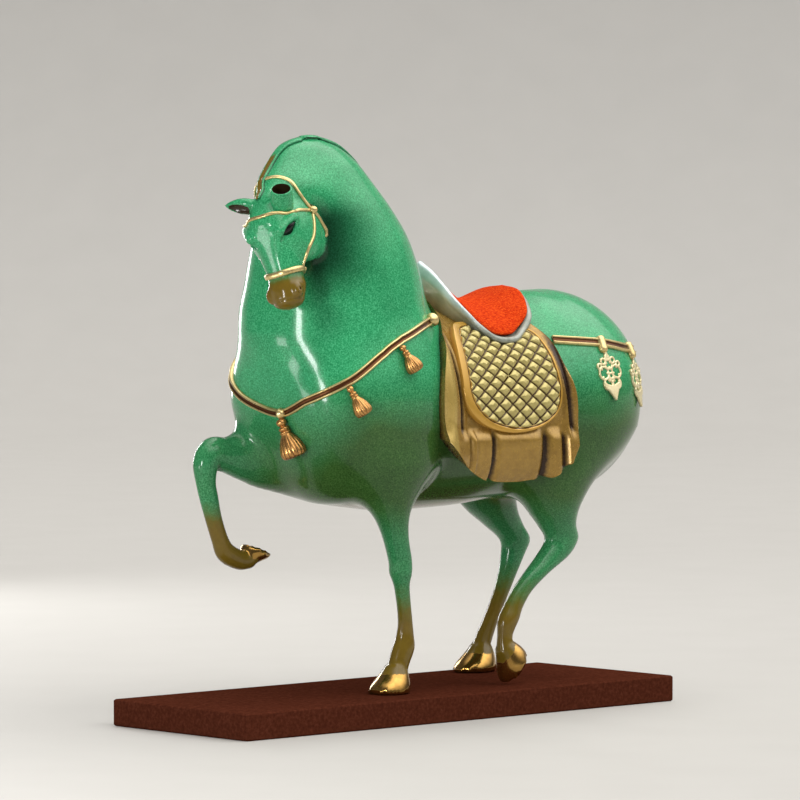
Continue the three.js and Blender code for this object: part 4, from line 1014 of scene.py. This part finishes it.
# Tassels: turn, length and radius.
TASSELS = {
    "tassel_front": (11.2, 21, 7.8),
    "tassel_left_1": (49, 16, 5.4),
    "tassel_left_2": (81.5, 15.5, 5.2),
    "tassel_right_1": (-55, 16, 5.4),
    "tassel_right_2": (-88, 15.5, 5.2),
}
# How many degrees of turn the tassels swing back.
TASSEL_SWING = 8
# A tassel's knob, collar and skirt: share of the length, and share of the radius.
TASSEL = [
    (0, 0.1), (0.02, 0.3), (0.08, 0.42), (0.14, 0.38), (0.18, 0.26), (0.2, 0.25), (0.225, 0.4),
    (0.26, 0.44), (0.295, 0.4), (0.31, 0.34), (0.33, 0.46), (0.36, 0.48), (0.39, 0.42), (0.5, 0.62),
    (0.66, 0.86), (0.82, 1.0), (0.92, 0.97), (0.97, 0.86), (1.0, 0.6), (0.97, 0.3),
]


def around_body(strap, turn, z):
    """Skin points at heights z, at turns about the strap's middle."""
    turn = np.radians(np.atleast_1d(np.asarray(turn, float)))
    z = np.broadcast_to(z, turn.shape)
    aims = np.stack([strap["way"] * np.cos(turn), -np.sin(turn), np.zeros(len(turn))], 1)
    starts = np.stack([np.full(len(turn), strap["middle"]), np.zeros(len(turn)), z], 1)
    return starts + aims * skin_reach(starts, aims)[:, None]


def strap_height(strap, turn):
    """A strap's heights at turns about its middle."""
    drop = strap["drop"]
    (z,) = read_off(drop, np.abs(turn) if drop[0][0] == 0 else turn)
    return z


def strap_path(strap, turn):
    """A strap's points on the skin."""
    return around_body(strap, turn, strap_height(strap, turn))


def on_strap(strap, turn, high):
    """A strap's point at a turn, lifted off the skin, with the ways along the strap and out there."""
    here, ahead = strap_path(strap, [turn, turn + 1.0])
    normal = skin_normal(here[None])[0]
    return here + normal * high, unit(ahead - here), normal


def bead(middle, aim, long, radius):
    """A turned bead with a ridge round its middle."""
    reach = unit(aim) * long / 2
    profile = []
    for share in np.linspace(0, 1, 15):
        plain = max(radius * math.sin(math.pi * share) ** 0.55, 0.15)
        ridge = 0.1 * math.exp(-(((share - 0.5) / 0.08) ** 2))
        profile.append((share, plain * (1 + ridge)))
    return turned(middle - reach, middle + reach, profile)


def clip(turn):
    """The short barrel round the crupper strap that a pendant hangs from."""
    middle, ahead, normal = on_strap(CRUPPER, turn, 0.6)
    upward = unit(np.cross(normal, ahead))
    upward = upward * np.sign(upward[2])
    profile = [(share, size * CLIP_SIZE["radius"]) for share, size in rounded(CLIP, 2)]
    return turned(middle - upward * CLIP_SIZE["below"], middle + upward * CLIP_SIZE["above"], profile)


beads = []
for turn, radius, long in BEADS:
    middle, ahead, _ = on_strap(BREAST, turn, 1.8)
    beads.append(bead(middle, ahead, long, radius))
clips = [clip(turn) for turn in PENDANT_TURNS.values()]
for name, strap, fittings in (("breast_strap", BREAST, beads), ("crupper_strap", CRUPPER, clips)):
    path = strap_path(strap, np.linspace(-strap["reach"], strap["reach"], strap["steps"]))
    profile = rounded(STRAP, 2)
    points, faces = joined([swept(path, skin_normal(path), profile * (strap["wide"], 1))] + fittings)
    # The channel between the strap's edges is darkened with painted shade.
    channel_shade = np.tile(smooth(1.5, 0.9, np.abs(profile[:, 0])), len(path))
    build(name + "_fine", points, faces, gold["strap_gold"], name, marks={"hollow": channel_shade})


def flutes(share, turn):
    """The strands of a tassel: ripples that start below its collar."""
    return 1 + 0.07 * np.abs(np.sin(turn * 8)) ** 0.7 * smooth(0.4, 0.55, np.asarray(share, float)) - 0.03


for name, (turn, long, radius) in TASSELS.items():
    start = on_strap(BREAST, turn, 3.0)[0] - (0, 0, 3)
    swung = turn + math.copysign(TASSEL_SWING, turn)
    foot = around_body(BREAST, swung, strap_height(BREAST, turn) - long - 3)
    end = foot[0] + skin_normal(foot)[0] * radius * 0.75
    profile = [(share, size * radius) for share, size in rounded(TASSEL, 3)]
    points, faces = turned(start, end, profile, 96, flutes)
    # The valleys between the strands are darker, with painted shade.
    along, aside = beside(points, start, unit(end - start))
    share = along / np.linalg.norm(end - start)
    plain = np.interp(share, [s for s, _ in profile[:-4]], [r for _, r in profile[:-4]])
    sunk = np.linalg.norm(aside, axis=1) / np.maximum(plain, 0.1)
    valleys = smooth(1.03, 0.98, sunk) * smooth(0.42, 0.5, share) * 0.8
    build(name + "_fine", points, faces, gold["tassel_gold"], name, marks={"hollow": valleys})

# Openwork pendants: rings, a crown of petals and a leaf, cut from one plate. Each loop: middle and radius.
LOOPS = [
    ((-5.5, 2.4), 3.9), ((5.5, 2.4), 3.9), ((0, 7.4), 2.9), ((0, 0.2), 1.7),
    ((-3.7, -4.5), 3.4), ((3.7, -4.5), 3.4), ((0, 11.6), 1.7), ((-4.2, 9.6), 1.8),
    ((4.2, 9.6), 1.8), ((-8.2, 7), 1.5), ((8.2, 7), 1.5),
]
# Half the lines' width, half the plate's thickness, and how round its edges are. Loops bigger than budded
# have three buds of this radius, set this far in from the line.
PLATE = {"line": 0.66, "thick": 0.95, "edge": 0.35, "budded": 2.5, "bud": 0.75, "bud_in": 1.1}
# How tall a plate is, its scale, how far it stands off the skin and hangs under the strap, and how far
# below it the skin is still looked at.
PENDANT = {"tall": 27, "size": 1.04, "stand": 1.8, "hang": 8, "below": 6}


def pendant_field(p):
    """How far points are outside the openwork plate."""
    x, y, z = p.T
    d = np.full(len(p), 1e3)
    for (cx, cy), radius in LOOPS:
        d = melt(d, np.abs(np.hypot(x - cx, y - cy) - radius) - PLATE["line"], 0.4)
        if radius > PLATE["budded"]:
            reach = radius - PLATE["bud_in"]
            for k in range(3):
                turn = 2.1 * k + 0.5 * cx + 0.6
                bud = np.hypot(x - cx - reach * math.cos(turn), y - cy - reach * math.sin(turn))
                d = melt(d, bud - PLATE["bud"], 0.5)
    # The leaf below, notched at its top, and the hanger above.
    leaf_below = np.maximum(np.abs(x) * 0.84 + (-y - 6.2) * 0.54 - 4.9, y + 6.0 - 0.35 * np.abs(x))
    d = melt(d, leaf_below, 0.5)
    d = melt(d, np.hypot(x, np.maximum(np.abs(y - 13.2) - 1.2, 0)) - 1.1, 0.6)
    # The plate's edges are rounded.
    edge = PLATE["edge"]
    outline, face = d + edge, np.abs(z) - PLATE["thick"] + edge
    inside = np.minimum(np.maximum(outline, face), 0)
    return inside + np.hypot(np.maximum(outline, 0), np.maximum(face, 0)) - edge


grid = [grid_lines(-12, 12, 0.36), grid_lines(-15, 16, 0.36), grid_lines(-1.9, 1.9, 0.36)]
plate, faces = skin_of(pendant_field, grid)
tall = PENDANT["tall"] * PENDANT["size"]
drop = tall + PENDANT["below"]
for name, turn in PENDANT_TURNS.items():
    top = strap_path(CRUPPER, turn)[0]
    height = strap_height(CRUPPER, turn)
    foot = around_body(CRUPPER, turn, height - drop)[0]
    out = skin_normal(around_body(CRUPPER, turn, height - drop / 2))[0]
    upward = unit(top - foot)
    side = unit(np.cross(upward, out))
    face = unit(np.cross(side, upward))
    centre = top - upward * (tall / 2 + PENDANT["hang"]) + face * PENDANT["stand"]
    points = centre + plate * (PENDANT["size"], PENDANT["size"], 1) @ np.stack([side, upward, face])
    # The plate's back, towards the skin, is darkened with painted shade.
    sunk = smooth(0.3, -0.6, plate[:, 2]) * 0.6
    build(name + "_fine", points, faces, gold["pendant_gold"], name, marks={"hollow": sunk})

# The saddle: a shell that rises to a pommel and a cantle, with a round rim.
# Its rim by the turn from the pommel: turn, x, how far out to the side, height.
RIM = [
    (0, 17.5, 0, 280), (20, 18.5, 10, 274), (35, 20, 19, 266), (50, 24, 27, 256), (62, 27, 35, 248),
    (75, 31, 41, 241), (90, 40, 46, 234), (115, 55, 46, 233.5), (135, 65, 42, 238), (150, 77, 35.5, 247.5),
    (166, 87, 18, 259), (180, 90, 0, 262),
]
SADDLE_MIDDLE = (50, 0, 256)
# The rim's section, from outside over the top to inside: share of the saddle's reach, lift, and how far out.
RIM_SECTION = [
    (0.98, -3.2, 0.3), (1, -1.8, 1.7), (1, -0.2, 2.3), (1, 1.2, 1.8), (1, 2.0, 0.6), (1, 1.9, -0.9),
    (1, 1.2, -2.2), (1, 0.3, -3.0),
]
# The padded seat's section: share of the saddle's reach, and lift.
SEAT_SECTION = [
    (0.9, -1), (0.915, 0.4), (0.905, 1.5), (0.87, 2.3), (0.78, 2.7), (0.6, 2.7), (0.4, 2.6), (0.2, 2.6),
    (0.06, 2.6),
]
ring_turn = np.linspace(0, 360, 180, endpoint=False)
from_pommel = 180 - np.abs(180 - ring_turn)


def saddle_ring(share, lift, out=0.0):
    """A ring like the saddle's rim, drawn in to a share of its reach."""
    x, spread, z = read_off(RIM, from_pommel)
    mx, my, mz = SADDLE_MIDDLE
    y = np.where(ring_turn > 180, spread, -spread)
    scale = share + out / np.hypot(x - mx, y - my)
    return np.stack([mx + (x - mx) * scale, my + (y - my) * scale, mz + (z - mz) * share * share + lift], 1)


skirt = saddle_ring(1, -3, -1)
skin_height = skin_reach(skirt * (1, 1, 0) + (0, 0, 200), (0, 0, 1)) + 200
skirt[:, 2] = np.minimum(skirt[:, 2], skin_height - 1)
rings = [saddle_ring(0.75, -8), skirt]
for share, lift, out in rounded(RIM_SECTION, 4):
    # The rim is broader, and leans out, at the pommel.
    deeper = smooth(0.5, -3.2, lift) * smooth(75, 30, from_pommel)
    rings.append(saddle_ring(share, lift - 4.5 * deeper, out + 1.2 * deeper))
rings += [saddle_ring(share, 0) for share in (0.85, 0.6, 0.3)]
points, faces = skinned(rings)
# The saddle's front is painted pale as if lit, and behind it the silver turns grey as painted shade.
build("saddle_fine", points, faces, silver_look(), "saddle", marks={"painted_light": smooth(34, 20, points[:, 0])})

# The padded seat laps over the rim at the cantle.
fuller = 0.03 * smooth(30, 60, from_pommel) + 0.06 * smooth(125, 160, from_pommel)
rings = []
for share, lift in rounded(SEAT_SECTION, 5):
    lap = fuller * smooth(0.3, 0.9, share)
    rings.append(saddle_ring(share * (1 + lap), lift + 26 * lap))
points, faces = skinned(rings)
build("saddle_seat_fine", points, faces, seat_look(), "saddle_seat")

# The saddle cloth's front and rear edges by the turn from the top of the back, and its hem's turn by x.
CLOTH_EDGES = [
    (0, 6, 72), (30, 3, 76), (48, -10, 81.5), (66, -18, 84), (84, -22, 88.5), (104, -19, 89), (136, -16, 89),
]
CLOTH_HEM = [
    (-20, 104), (-12, 110), (-3, 117), (8, 122.5), (20, 126.5), (46, 127.5),
    (60, 126), (70, 123.5), (78, 119.5), (84, 114.5), (90, 107),
]
# The cloth's thickness, how far its inner edge is sunk in the skin, how far its lowest part stands off and
# its front corner curls out, and how many rows and columns it has.
CLOTH = {"thick": 3.2, "sink": 1.2, "stand": 7.2, "curl": 3, "grid": (220, 300)}


def read_grid(rows, place):
    """Values read off rows at a whole grid of places."""
    return [value.reshape(place.shape) for value in read_off(rows, place.ravel())]


def groove(place, middle, wide):
    """1 in the middle of a groove, 0 beyond its width."""
    return np.exp(-(((place - middle) / (wide * 0.5)) ** 2))


def folds(x, turn):
    """How far the cloth stands over its flat thickness, and how deep in a fold each point lies."""
    down_side = smooth(34, 58, turn)
    below = smooth(99, 106, turn)
    # Long folds before and behind the flap, and panels with deep grooves between them below it.
    valley = groove(x, -5 + 0.06 * (turn - 70), 4.6) * down_side
    rear_valley = groove(x, 81.5 + 0.1 * (turn - 60), 5) * down_side * smooth(112, 100, turn)
    valleys = np.maximum(valley, rear_valley)
    high = down_side * (smooth(3, -6, x) * 4.2 + smooth(79, 84, x) * 3.6) * (1 - 0.95 * valleys)
    high = high * (1 - 0.6 * smooth(-13, -20, x)) * (1 - 0.55 * smooth(88, 94, x))
    cuts = np.maximum.reduce(
        [groove(x, 22.5, 4.4), groove(x, 64.6, 6.5), groove(x, 78.8, 5.2) * 0.9, groove(x, 2.5, 2.4) * 0.55]
    )
    ridge = 1.2 * (groove(x, 5.6, 2.4) + groove(x, 82.6, 2.2))
    high = high * (1 - below) + (3.6 * (1 - cuts) + ridge) * below
    return high, np.maximum(valleys * (1 - below), cuts * below)


def once_round(grid):
    """The border of a grid, once round."""
    return np.concatenate([grid[:, 0], grid[-1, 1:], grid[-2::-1, -1], grid[0, -2:0:-1]])


share, side = np.meshgrid(*(np.linspace(low, 1, n) for low, n in zip((0, -1), CLOTH["grid"])), indexing="ij")
# The hem depends on x, and the edges on the turn, so x and the turn are found together.
x = -20 + 109 * share
for _ in range(3):
    turn = side * read_grid(CLOTH_HEM, x)[0]
    front, rear = read_grid(CLOTH_EDGES, np.abs(turn))
    x = front + (rear - front) * share
fold, hollow = folds(x, np.abs(turn))
stand = CLOTH["stand"] * smooth(94, 126, np.abs(turn))
# The front corner of the hem curls outwards.
stand = stand + CLOTH["curl"] * smooth(0.86, 1.0, np.abs(side)) * smooth(6, -8, x) * smooth(-24, -14, x)
outer = over_back(x, turn, CLOTH["thick"] + fold + stand).reshape(-1, 3)
inner = once_round(over_back(x, turn, -CLOTH["sink"]))
ring = once_round(np.arange(len(outer)).reshape(CLOTH["grid"]))
ring_below = len(outer) + np.arange(len(ring))
edge = np.stack([ring, ring_below, np.roll(ring_below, -1), np.roll(ring, -1)], 1)
faces = np.concatenate([grid_faces(*CLOTH["grid"]), edge])[:, ::-1]
# Painted shade darkens the cloth in its fold valleys and cuts and down its edge; the border colour on its
# front folds is a painted highlight.
marks = {
    "hollow": np.concatenate([hollow.ravel(), np.ones(len(ring))]),
    "border": (smooth(-9, -13, x) * (1 - hollow)).ravel(),
}
points = np.concatenate([outer, inner])
build("saddle_cloth_fine", points, faces, gold["cloth_gold"], "saddle_cloth", marks=marks)

# The quilted flaps' outline: x, and turn from the top of the back.
FLAP_OUTLINE = [
    (37, 30), (15, 32), (5, 42), (0, 56), (-2, 70), (-1.8, 82), (4, 91.5), (17, 99),
    (37, 102.3), (57, 100.3), (71.5, 93.5), (77, 83), (76.8, 68), (74.8, 54), (70.5, 42), (58, 32),
]
# The flap's middle, how far the skin is from the body's axis there, the flap's thickness, and how far its
# lowest part stands off.
FLAP = {"middle": (37, 70), "radius": 66, "thick": 2.6, "stand": 7.5}
# The quilting's diamonds: their breadth, height and puff.
QUILT = {"wide": 10.9, "high": 9.4, "puff": 2.1}
# How broad the plain border is, by x.
BORDER = [(0, 7.4), (18, 5.6), (40, 3.7), (70, 2.8)]


def inside_saddle(points):
    """How far each point is inside the saddle's outline, seen from above."""
    middle = np.array(SADDLE_MIDDLE[:2])
    rim = saddle_ring(1, 0, 2.3)[:, :2] - middle
    away = points[..., :2] - middle
    rim_turn = np.arctan2(rim[:, 1], rim[:, 0])
    turn = np.arctan2(away[..., 1], away[..., 0])
    reach = np.interp(turn, rim_turn, np.linalg.norm(rim, axis=1), period=2 * math.pi)
    return reach - np.linalg.norm(away, axis=-1)


def quilting(x, turn):
    """How far the puffed diamonds stand over the flap, and how far each point is from their seams."""
    x_middle, turn_middle = FLAP["middle"]
    along = (x - x_middle) / QUILT["wide"]
    down = (np.radians(turn) * FLAP["radius"] - math.radians(turn_middle) * FLAP["radius"]) / QUILT["high"]
    u_gap, v_gap = (0.5 - np.abs(w - np.floor(w) - 0.5) for w in (along + down, along - down))
    gap = np.minimum(u_gap, v_gap)
    puff = QUILT["puff"] * (1 - (1 - 2 * u_gap) ** 4) * (1 - (1 - 2 * v_gap) ** 4)
    return puff + 0.3 * smooth(0.27, 0.33, gap), gap


def flap(side):
    """Rings from the middle of the flap out to its edge: quilted inside, with a plain raised border."""
    rows = np.array(FLAP_OUTLINE + FLAP_OUTLINE[:1], float)
    around = np.linspace(0, len(rows) - 1, 481)[:-1]
    edge = through(np.concatenate([rows[-3:-1], rows, rows[1:3]]), 2 + around)
    middle = np.array(FLAP["middle"], float)
    shares = np.concatenate([np.linspace(0.02, 0.8, 100), np.linspace(0.806, 1, 34)])
    flat = middle + (edge - middle) * shares[:, None, None]
    x, turn = flat[..., 0], flat[..., 1]
    reach = np.linalg.norm((edge - middle) * (1, math.radians(FLAP["radius"])), axis=1)
    inward = (1 - shares[:, None]) * reach
    puff, gap = quilting(x, turn)
    wide = np.interp(edge[:, 0], *zip(*BORDER))
    inside = smooth(-0.3, 0.5, inward - wide)
    border = 1.5 - 0.4 * ((inward - wide * 0.5) / (wide * 0.5)) ** 2
    line = groove(inward - wide, -0.6, 0.9)
    high = puff * inside + (border * smooth(0, 0.7, inward) - 0.6 * line) * (1 - inside)
    # The top of the flap is tucked in under the saddle.
    base = CLOTH["thick"] + FLAP["thick"] + FLAP["stand"] * smooth(94, 126, turn)
    tucked = smooth(-0.5, 3, inside_saddle(over_back(x, side * turn, base)))
    base = base * (1 - tucked) - tucked
    outer = over_back(x, side * turn, base + high * (1 - tucked))
    wall = over_back(x[-1:], side * turn[-1:], base[-1:] - FLAP["thick"] - 0.5)
    rings = np.concatenate([outer, wall])
    # The quilting's seams and the groove inside the border are darkened with painted shade.
    marks = {}
    for name, mark in (("hollow", np.maximum(smooth(0.17, 0.0, gap) * inside, line)), ("border", 1 - inside)):
        marks[name] = np.concatenate([mark.ravel(), mark[-1]])
    points, faces = skinned(rings, capped=False)
    points = np.concatenate([points, [rings[0].mean(0)]])
    steps = len(edge)
    faces += [[len(points) - 1, (k + 1) % steps, k] for k in range(steps)]
    return points, [face[::-side] for face in faces], marks


for side, name in ((1, "saddle_flap_left"), (-1, "saddle_flap_right")):
    points, faces, marks = flap(side)
    build(name + "_fine", points, faces, gold["flap_gold"], name, marks=marks)

# The bridle: thin straps through points of the head's frame, given for the left and mirrored.
ROSETTE = (13.6, -19.4, 18.5)
BRIDLE = {
    "browband": [(14.6, 13, 0), (14.0, 11, 9), (13.6, 6.8, 17.4), (13.2, -7, 20), ROSETTE],
    "crownpiece": [
        (-10, -5.5, -1), (-9.7, -6.3, 6.3), (-5.3, -8.7, 13.2), (2.4, -11.1, 16.1), (10.3, -16.4, 17.4),
        ROSETTE,
    ],
    "cheekpiece": [ROSETTE, (22, -17, 19), (29.7, -14.1, 18), (38.1, -8.6, 15), (48.4, -8.6, 11)],
    "noseband": [(50.5, 9, 0), (50, 7, 6), (48.8, 0, 10.4), (48.4, -9, 10), (49, -15, 0)],
    "throatlatch": [ROSETTE, (17, -24, 18), (22.5, -28.5, 15), (26.5, -31, 8), (28, -31, 0)],
}
NOSEBAND_WIDE = 1.8
# Beads on the bridle: middle and radius.
BRIDLE_BEADS = ((ROSETTE, 2.5), ((48.4, -8.6, 10.5), 1.6))
# A thong's section: across and high.
THONG = mirrored([(-1.0, -0.5), (-1.05, 0.35), (-0.75, 0.85), (0, 1.0)])


def onto_head(places):
    """Places in the head's frame, moved onto the skin."""
    return settle(horse_field, from_head(places), 6, most=4)


parts = []
for name, row in BRIDLE.items():
    left = np.array(row, float)
    right = left * (1, 1, -1)
    if name == "cheekpiece":
        lines = [left, right]
    elif left[0, 2] == 0:
        lines = [np.concatenate([right[::-1], left[1:]])]
    else:
        lines = [np.concatenate([left, right[-2::-1]])]
    for line in lines:
        path = onto_head(rounded(line, 24))
        section = rounded(THONG, 2) * (NOSEBAND_WIDE if name == "noseband" else 1)
        parts.append(swept(path, skin_normal(path), section))
for side in (1, -1):
    for spot, radius in BRIDLE_BEADS:
        middle = onto_head([np.multiply(spot, (1, 1, side))])
        normal = skin_normal(middle)[0]
        parts.append(bead(middle[0] + normal * radius * 0.4, normal, radius * 2.1, radius))
points, faces = joined(parts)
build("bridle", points, faces, gold["strap_gold"], "breast_strap", stands_in=False)

# The mane: a band from the forehead over the crest, gilt at its front. Each row: x, y, z, half width.
MANE = [
    (-141, -25.6, 322.5, 1.4), (-134.5, -22.5, 325.5, 2.6), (-129.8, -18.5, 329.8, 3.0),
    (-125.5, -16.6, 335.3, 3.1), (-119.6, -14.4, 341.3, 3.2), (-113.3, -13.3, 348.2, 3.4),
    (-104.9, -13.5, 355.4, 4.8), (-89, -14.2, 359, 7.5), (-73, -13, 354, 8.5), (-60, -12, 345, 8),
    (-50, -11.5, 335, 6), (-42, -10, 322, 3.5), (-38, -9, 314, 1.5),
]
MANE_GRID = (240, 33)
rows = through(MANE, np.linspace(0, len(MANE) - 1, MANE_GRID[0]))
path = settle(horse_field, rows[:, :3], 6, most=3)
shares = np.linspace(-1, 1, MANE_GRID[1])
sideways = unit(np.cross(unit(np.gradient(path, axis=0)), skin_normal(path)))
spread = (path[:, None] + sideways[:, None] * (shares * rows[:, 3:4])[..., None]).reshape(-1, 3)
spread = settle(horse_field, spread, 6, most=3)
front = smooth(-112, -118, rows[:, 0])[:, None]
high = 2.3 * (1 - shares**12) - 0.6 - 0.5 * np.exp(-((shares / 0.4) ** 2)) * front
points = spread + skin_normal(spread) * high.reshape(-1, 1)
# The band's edges, where it meets the skin, are darkened with painted shade.
marks = {
    "gilt": (front * smooth(0.75, 0.45, np.abs(shares))).ravel(),
    "deep": np.tile(smooth(0.8, 0.97, np.abs(shares)) * 0.8, len(rows)),
}
build("mane", points, grid_faces(*MANE_GRID), patina, "horse", stands_in=False, marks=marks)

# The left ear, a short round cup that looks up and forwards: share of its length, and radius.
wide, inner = CUP["radius"], CUP["hollow"]
CUP_ROWS = [
    (-0.4, wide * 1.05), (0.3, wide * 1.04), (0.7, wide), (0.93, wide), (0.985, wide - 0.25),
    (1, wide - 0.65), (0.985, wide - 1.0), (0.93, inner), (0.7, inner * 0.96), (0.45, inner * 0.8),
    (0.32, inner * 0.5), (0.28, 0.1),
]
aim = unit(CUP["aim"])
root = np.array(CUP["root"])
points, faces = turned(from_head(root), from_head(root + aim * CUP["length"]), rounded(CUP_ROWS, 4), 64)
_, aside = beside(in_head(points), root, aim)
# The inside of the cup is painted dark brown as shade.
dark = smooth(wide - 0.9, wide - 1.2, np.linalg.norm(aside, axis=1))
build("ear_left", points, faces, patina, "horse", stands_in=False, marks={"shade": dark})

# Eyes of black glass: each fills its almond hollow and swells in its middle.
EYE_GRID = (41, 17)
EYE_SWELL = 0.9
middle, along, across, _ = eye_axes()
s, t = np.meshgrid(*(np.linspace(-1, 1, n) for n in EYE_GRID), indexing="ij")
wide = EYE["high"] * (1 - s**2) + 0.05
almond_points = middle + along * (s * EYE["long"])[..., None] + across * (t * wide)[..., None]
swell = (EYE_SWELL * (1 - t**2) * (1 - s**2) - EYE_SWELL).ravel()
for side, name in ((1, "eye_left"), (-1, "eye_right")):
    points = settle(bare_head, almond_points.reshape(-1, 3) * (1, 1, side), 8, high=swell, most=2)
    build(name, from_head(points), grid_faces(*EYE_GRID)[:, ::side], jet, "horse", stands_in=False)

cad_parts["plinth"].data.materials.clear()
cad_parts["plinth"].data.materials.append(plinth_look())

# The camera stands where the photographer stood: its turn from the front and its lift, in degrees.
CAMERA = {"turn": -42.667, "lift": 2.558, "place": (-2.31875, -2.51626, 0.3486), "lens": 247.5, "sensor": 36}
turn, lift = math.radians(CAMERA["turn"]), math.radians(CAMERA["lift"])
right = np.array([math.cos(turn), math.sin(turn), 0])
toward = np.array([math.sin(turn), -math.cos(turn), 0])
back = Vector((math.sin(turn) * math.cos(lift), -math.cos(turn) * math.cos(lift), math.sin(lift)))
sideways = Vector(right)
camera = bpy.data.objects.new("camera", bpy.data.cameras.new("camera"))
camera.data.lens = CAMERA["lens"]
camera.data.sensor_width = CAMERA["sensor"]
camera.data.clip_end = 50
axes = zip(sideways, back.cross(sideways), back)
camera.matrix_world = Matrix([(*row, 0) for row in axes] + [(0, 0, 0, 1)])
camera.location = CAMERA["place"]
bpy.context.scene.collection.objects.link(camera)
bpy.context.scene.camera = camera

# A pale floor, which curves up well behind the horse.
rows = [(far, 4.5 * (max(far - 3, 0) / 2.2) ** 3) for far in np.linspace(-2, 5.2, 73)]
points = np.array([right * across - toward * far + (0, 0, high) for across in (-5, 5) for far, high in rows])
pale = plain_look("pale_floor", 60, (176, 174, 170), (178, 176, 172), Roughness=0.6)
add_mesh("floor", points, grid_faces(2, len(rows)), pale)


def lamp(name, turn, lift, far, size, power, aim=(0, 0, 0.2), colour=(1, 1, 1)):
    """A soft lamp, its turn right of the camera and its lift in degrees, seen from what it lights."""
    turn, lift = math.radians(turn), math.radians(lift)
    flat = toward * math.cos(turn) + right * math.sin(turn)
    place = np.array(aim) + far * (flat * math.cos(lift) + (0, 0, math.sin(lift)))
    light = bpy.data.lights.new(name, "AREA")
    light.shape = "RECTANGLE"
    light.size, light.size_y = size
    light.energy = power
    light.color = colour
    obj = bpy.data.objects.new(name, light)
    obj.location = place
    obj.rotation_mode = "QUATERNION"
    obj.rotation_quaternion = (Vector(aim) - Vector(place)).to_track_quat("-Z", "Y")
    bpy.context.scene.collection.objects.link(obj)


lamp("front", 12, 48, 1.6, (0.9, 0.7), 2, colour=(1.0, 0.97, 0.93))
lamp("strip", -29, 2, 1.15, (0.13, 0.28), 4.4)
lamp("rim", -148, 9, 1.1, (0.12, 0.5), 3)
lamp("low", -57, -15, 0.75, (0.2, 0.12), 0.8, aim=(-0.14, -0.04, 0.29))

# The room: dim at the sides, and brighter smoothly towards the ceiling on the camera's right.
world = bpy.data.worlds.new("room")
world.use_nodes = True
nodes, links = world.node_tree.nodes, world.node_tree.links
around = nodes.new("ShaderNodeTexCoord")
height = nodes.new("ShaderNodeVectorMath")
height.operation = "DOT_PRODUCT"
height.inputs[1].default_value = unit(right * 0.45 + (0, 0, 1))
band = nodes.new("ShaderNodeValToRGB")
band.color_ramp.interpolation = "EASE"
for end, place, colour in ((0, 0.48, (0.035, 0.036, 0.038, 1)), (1, 1.0, (1.0, 0.98, 0.95, 1))):
    band.color_ramp.elements[end].position = place
    band.color_ramp.elements[end].color = colour
links.new(around.outputs["Generated"], height.inputs[0])
links.new(height.outputs["Value"], band.inputs["Fac"])
links.new(band.outputs["Color"], nodes["Background"].inputs["Color"])
nodes["Background"].inputs["Strength"].default_value = 3.7
bpy.context.scene.world = world
bpy.context.scene.view_settings.view_transform = "Standard"
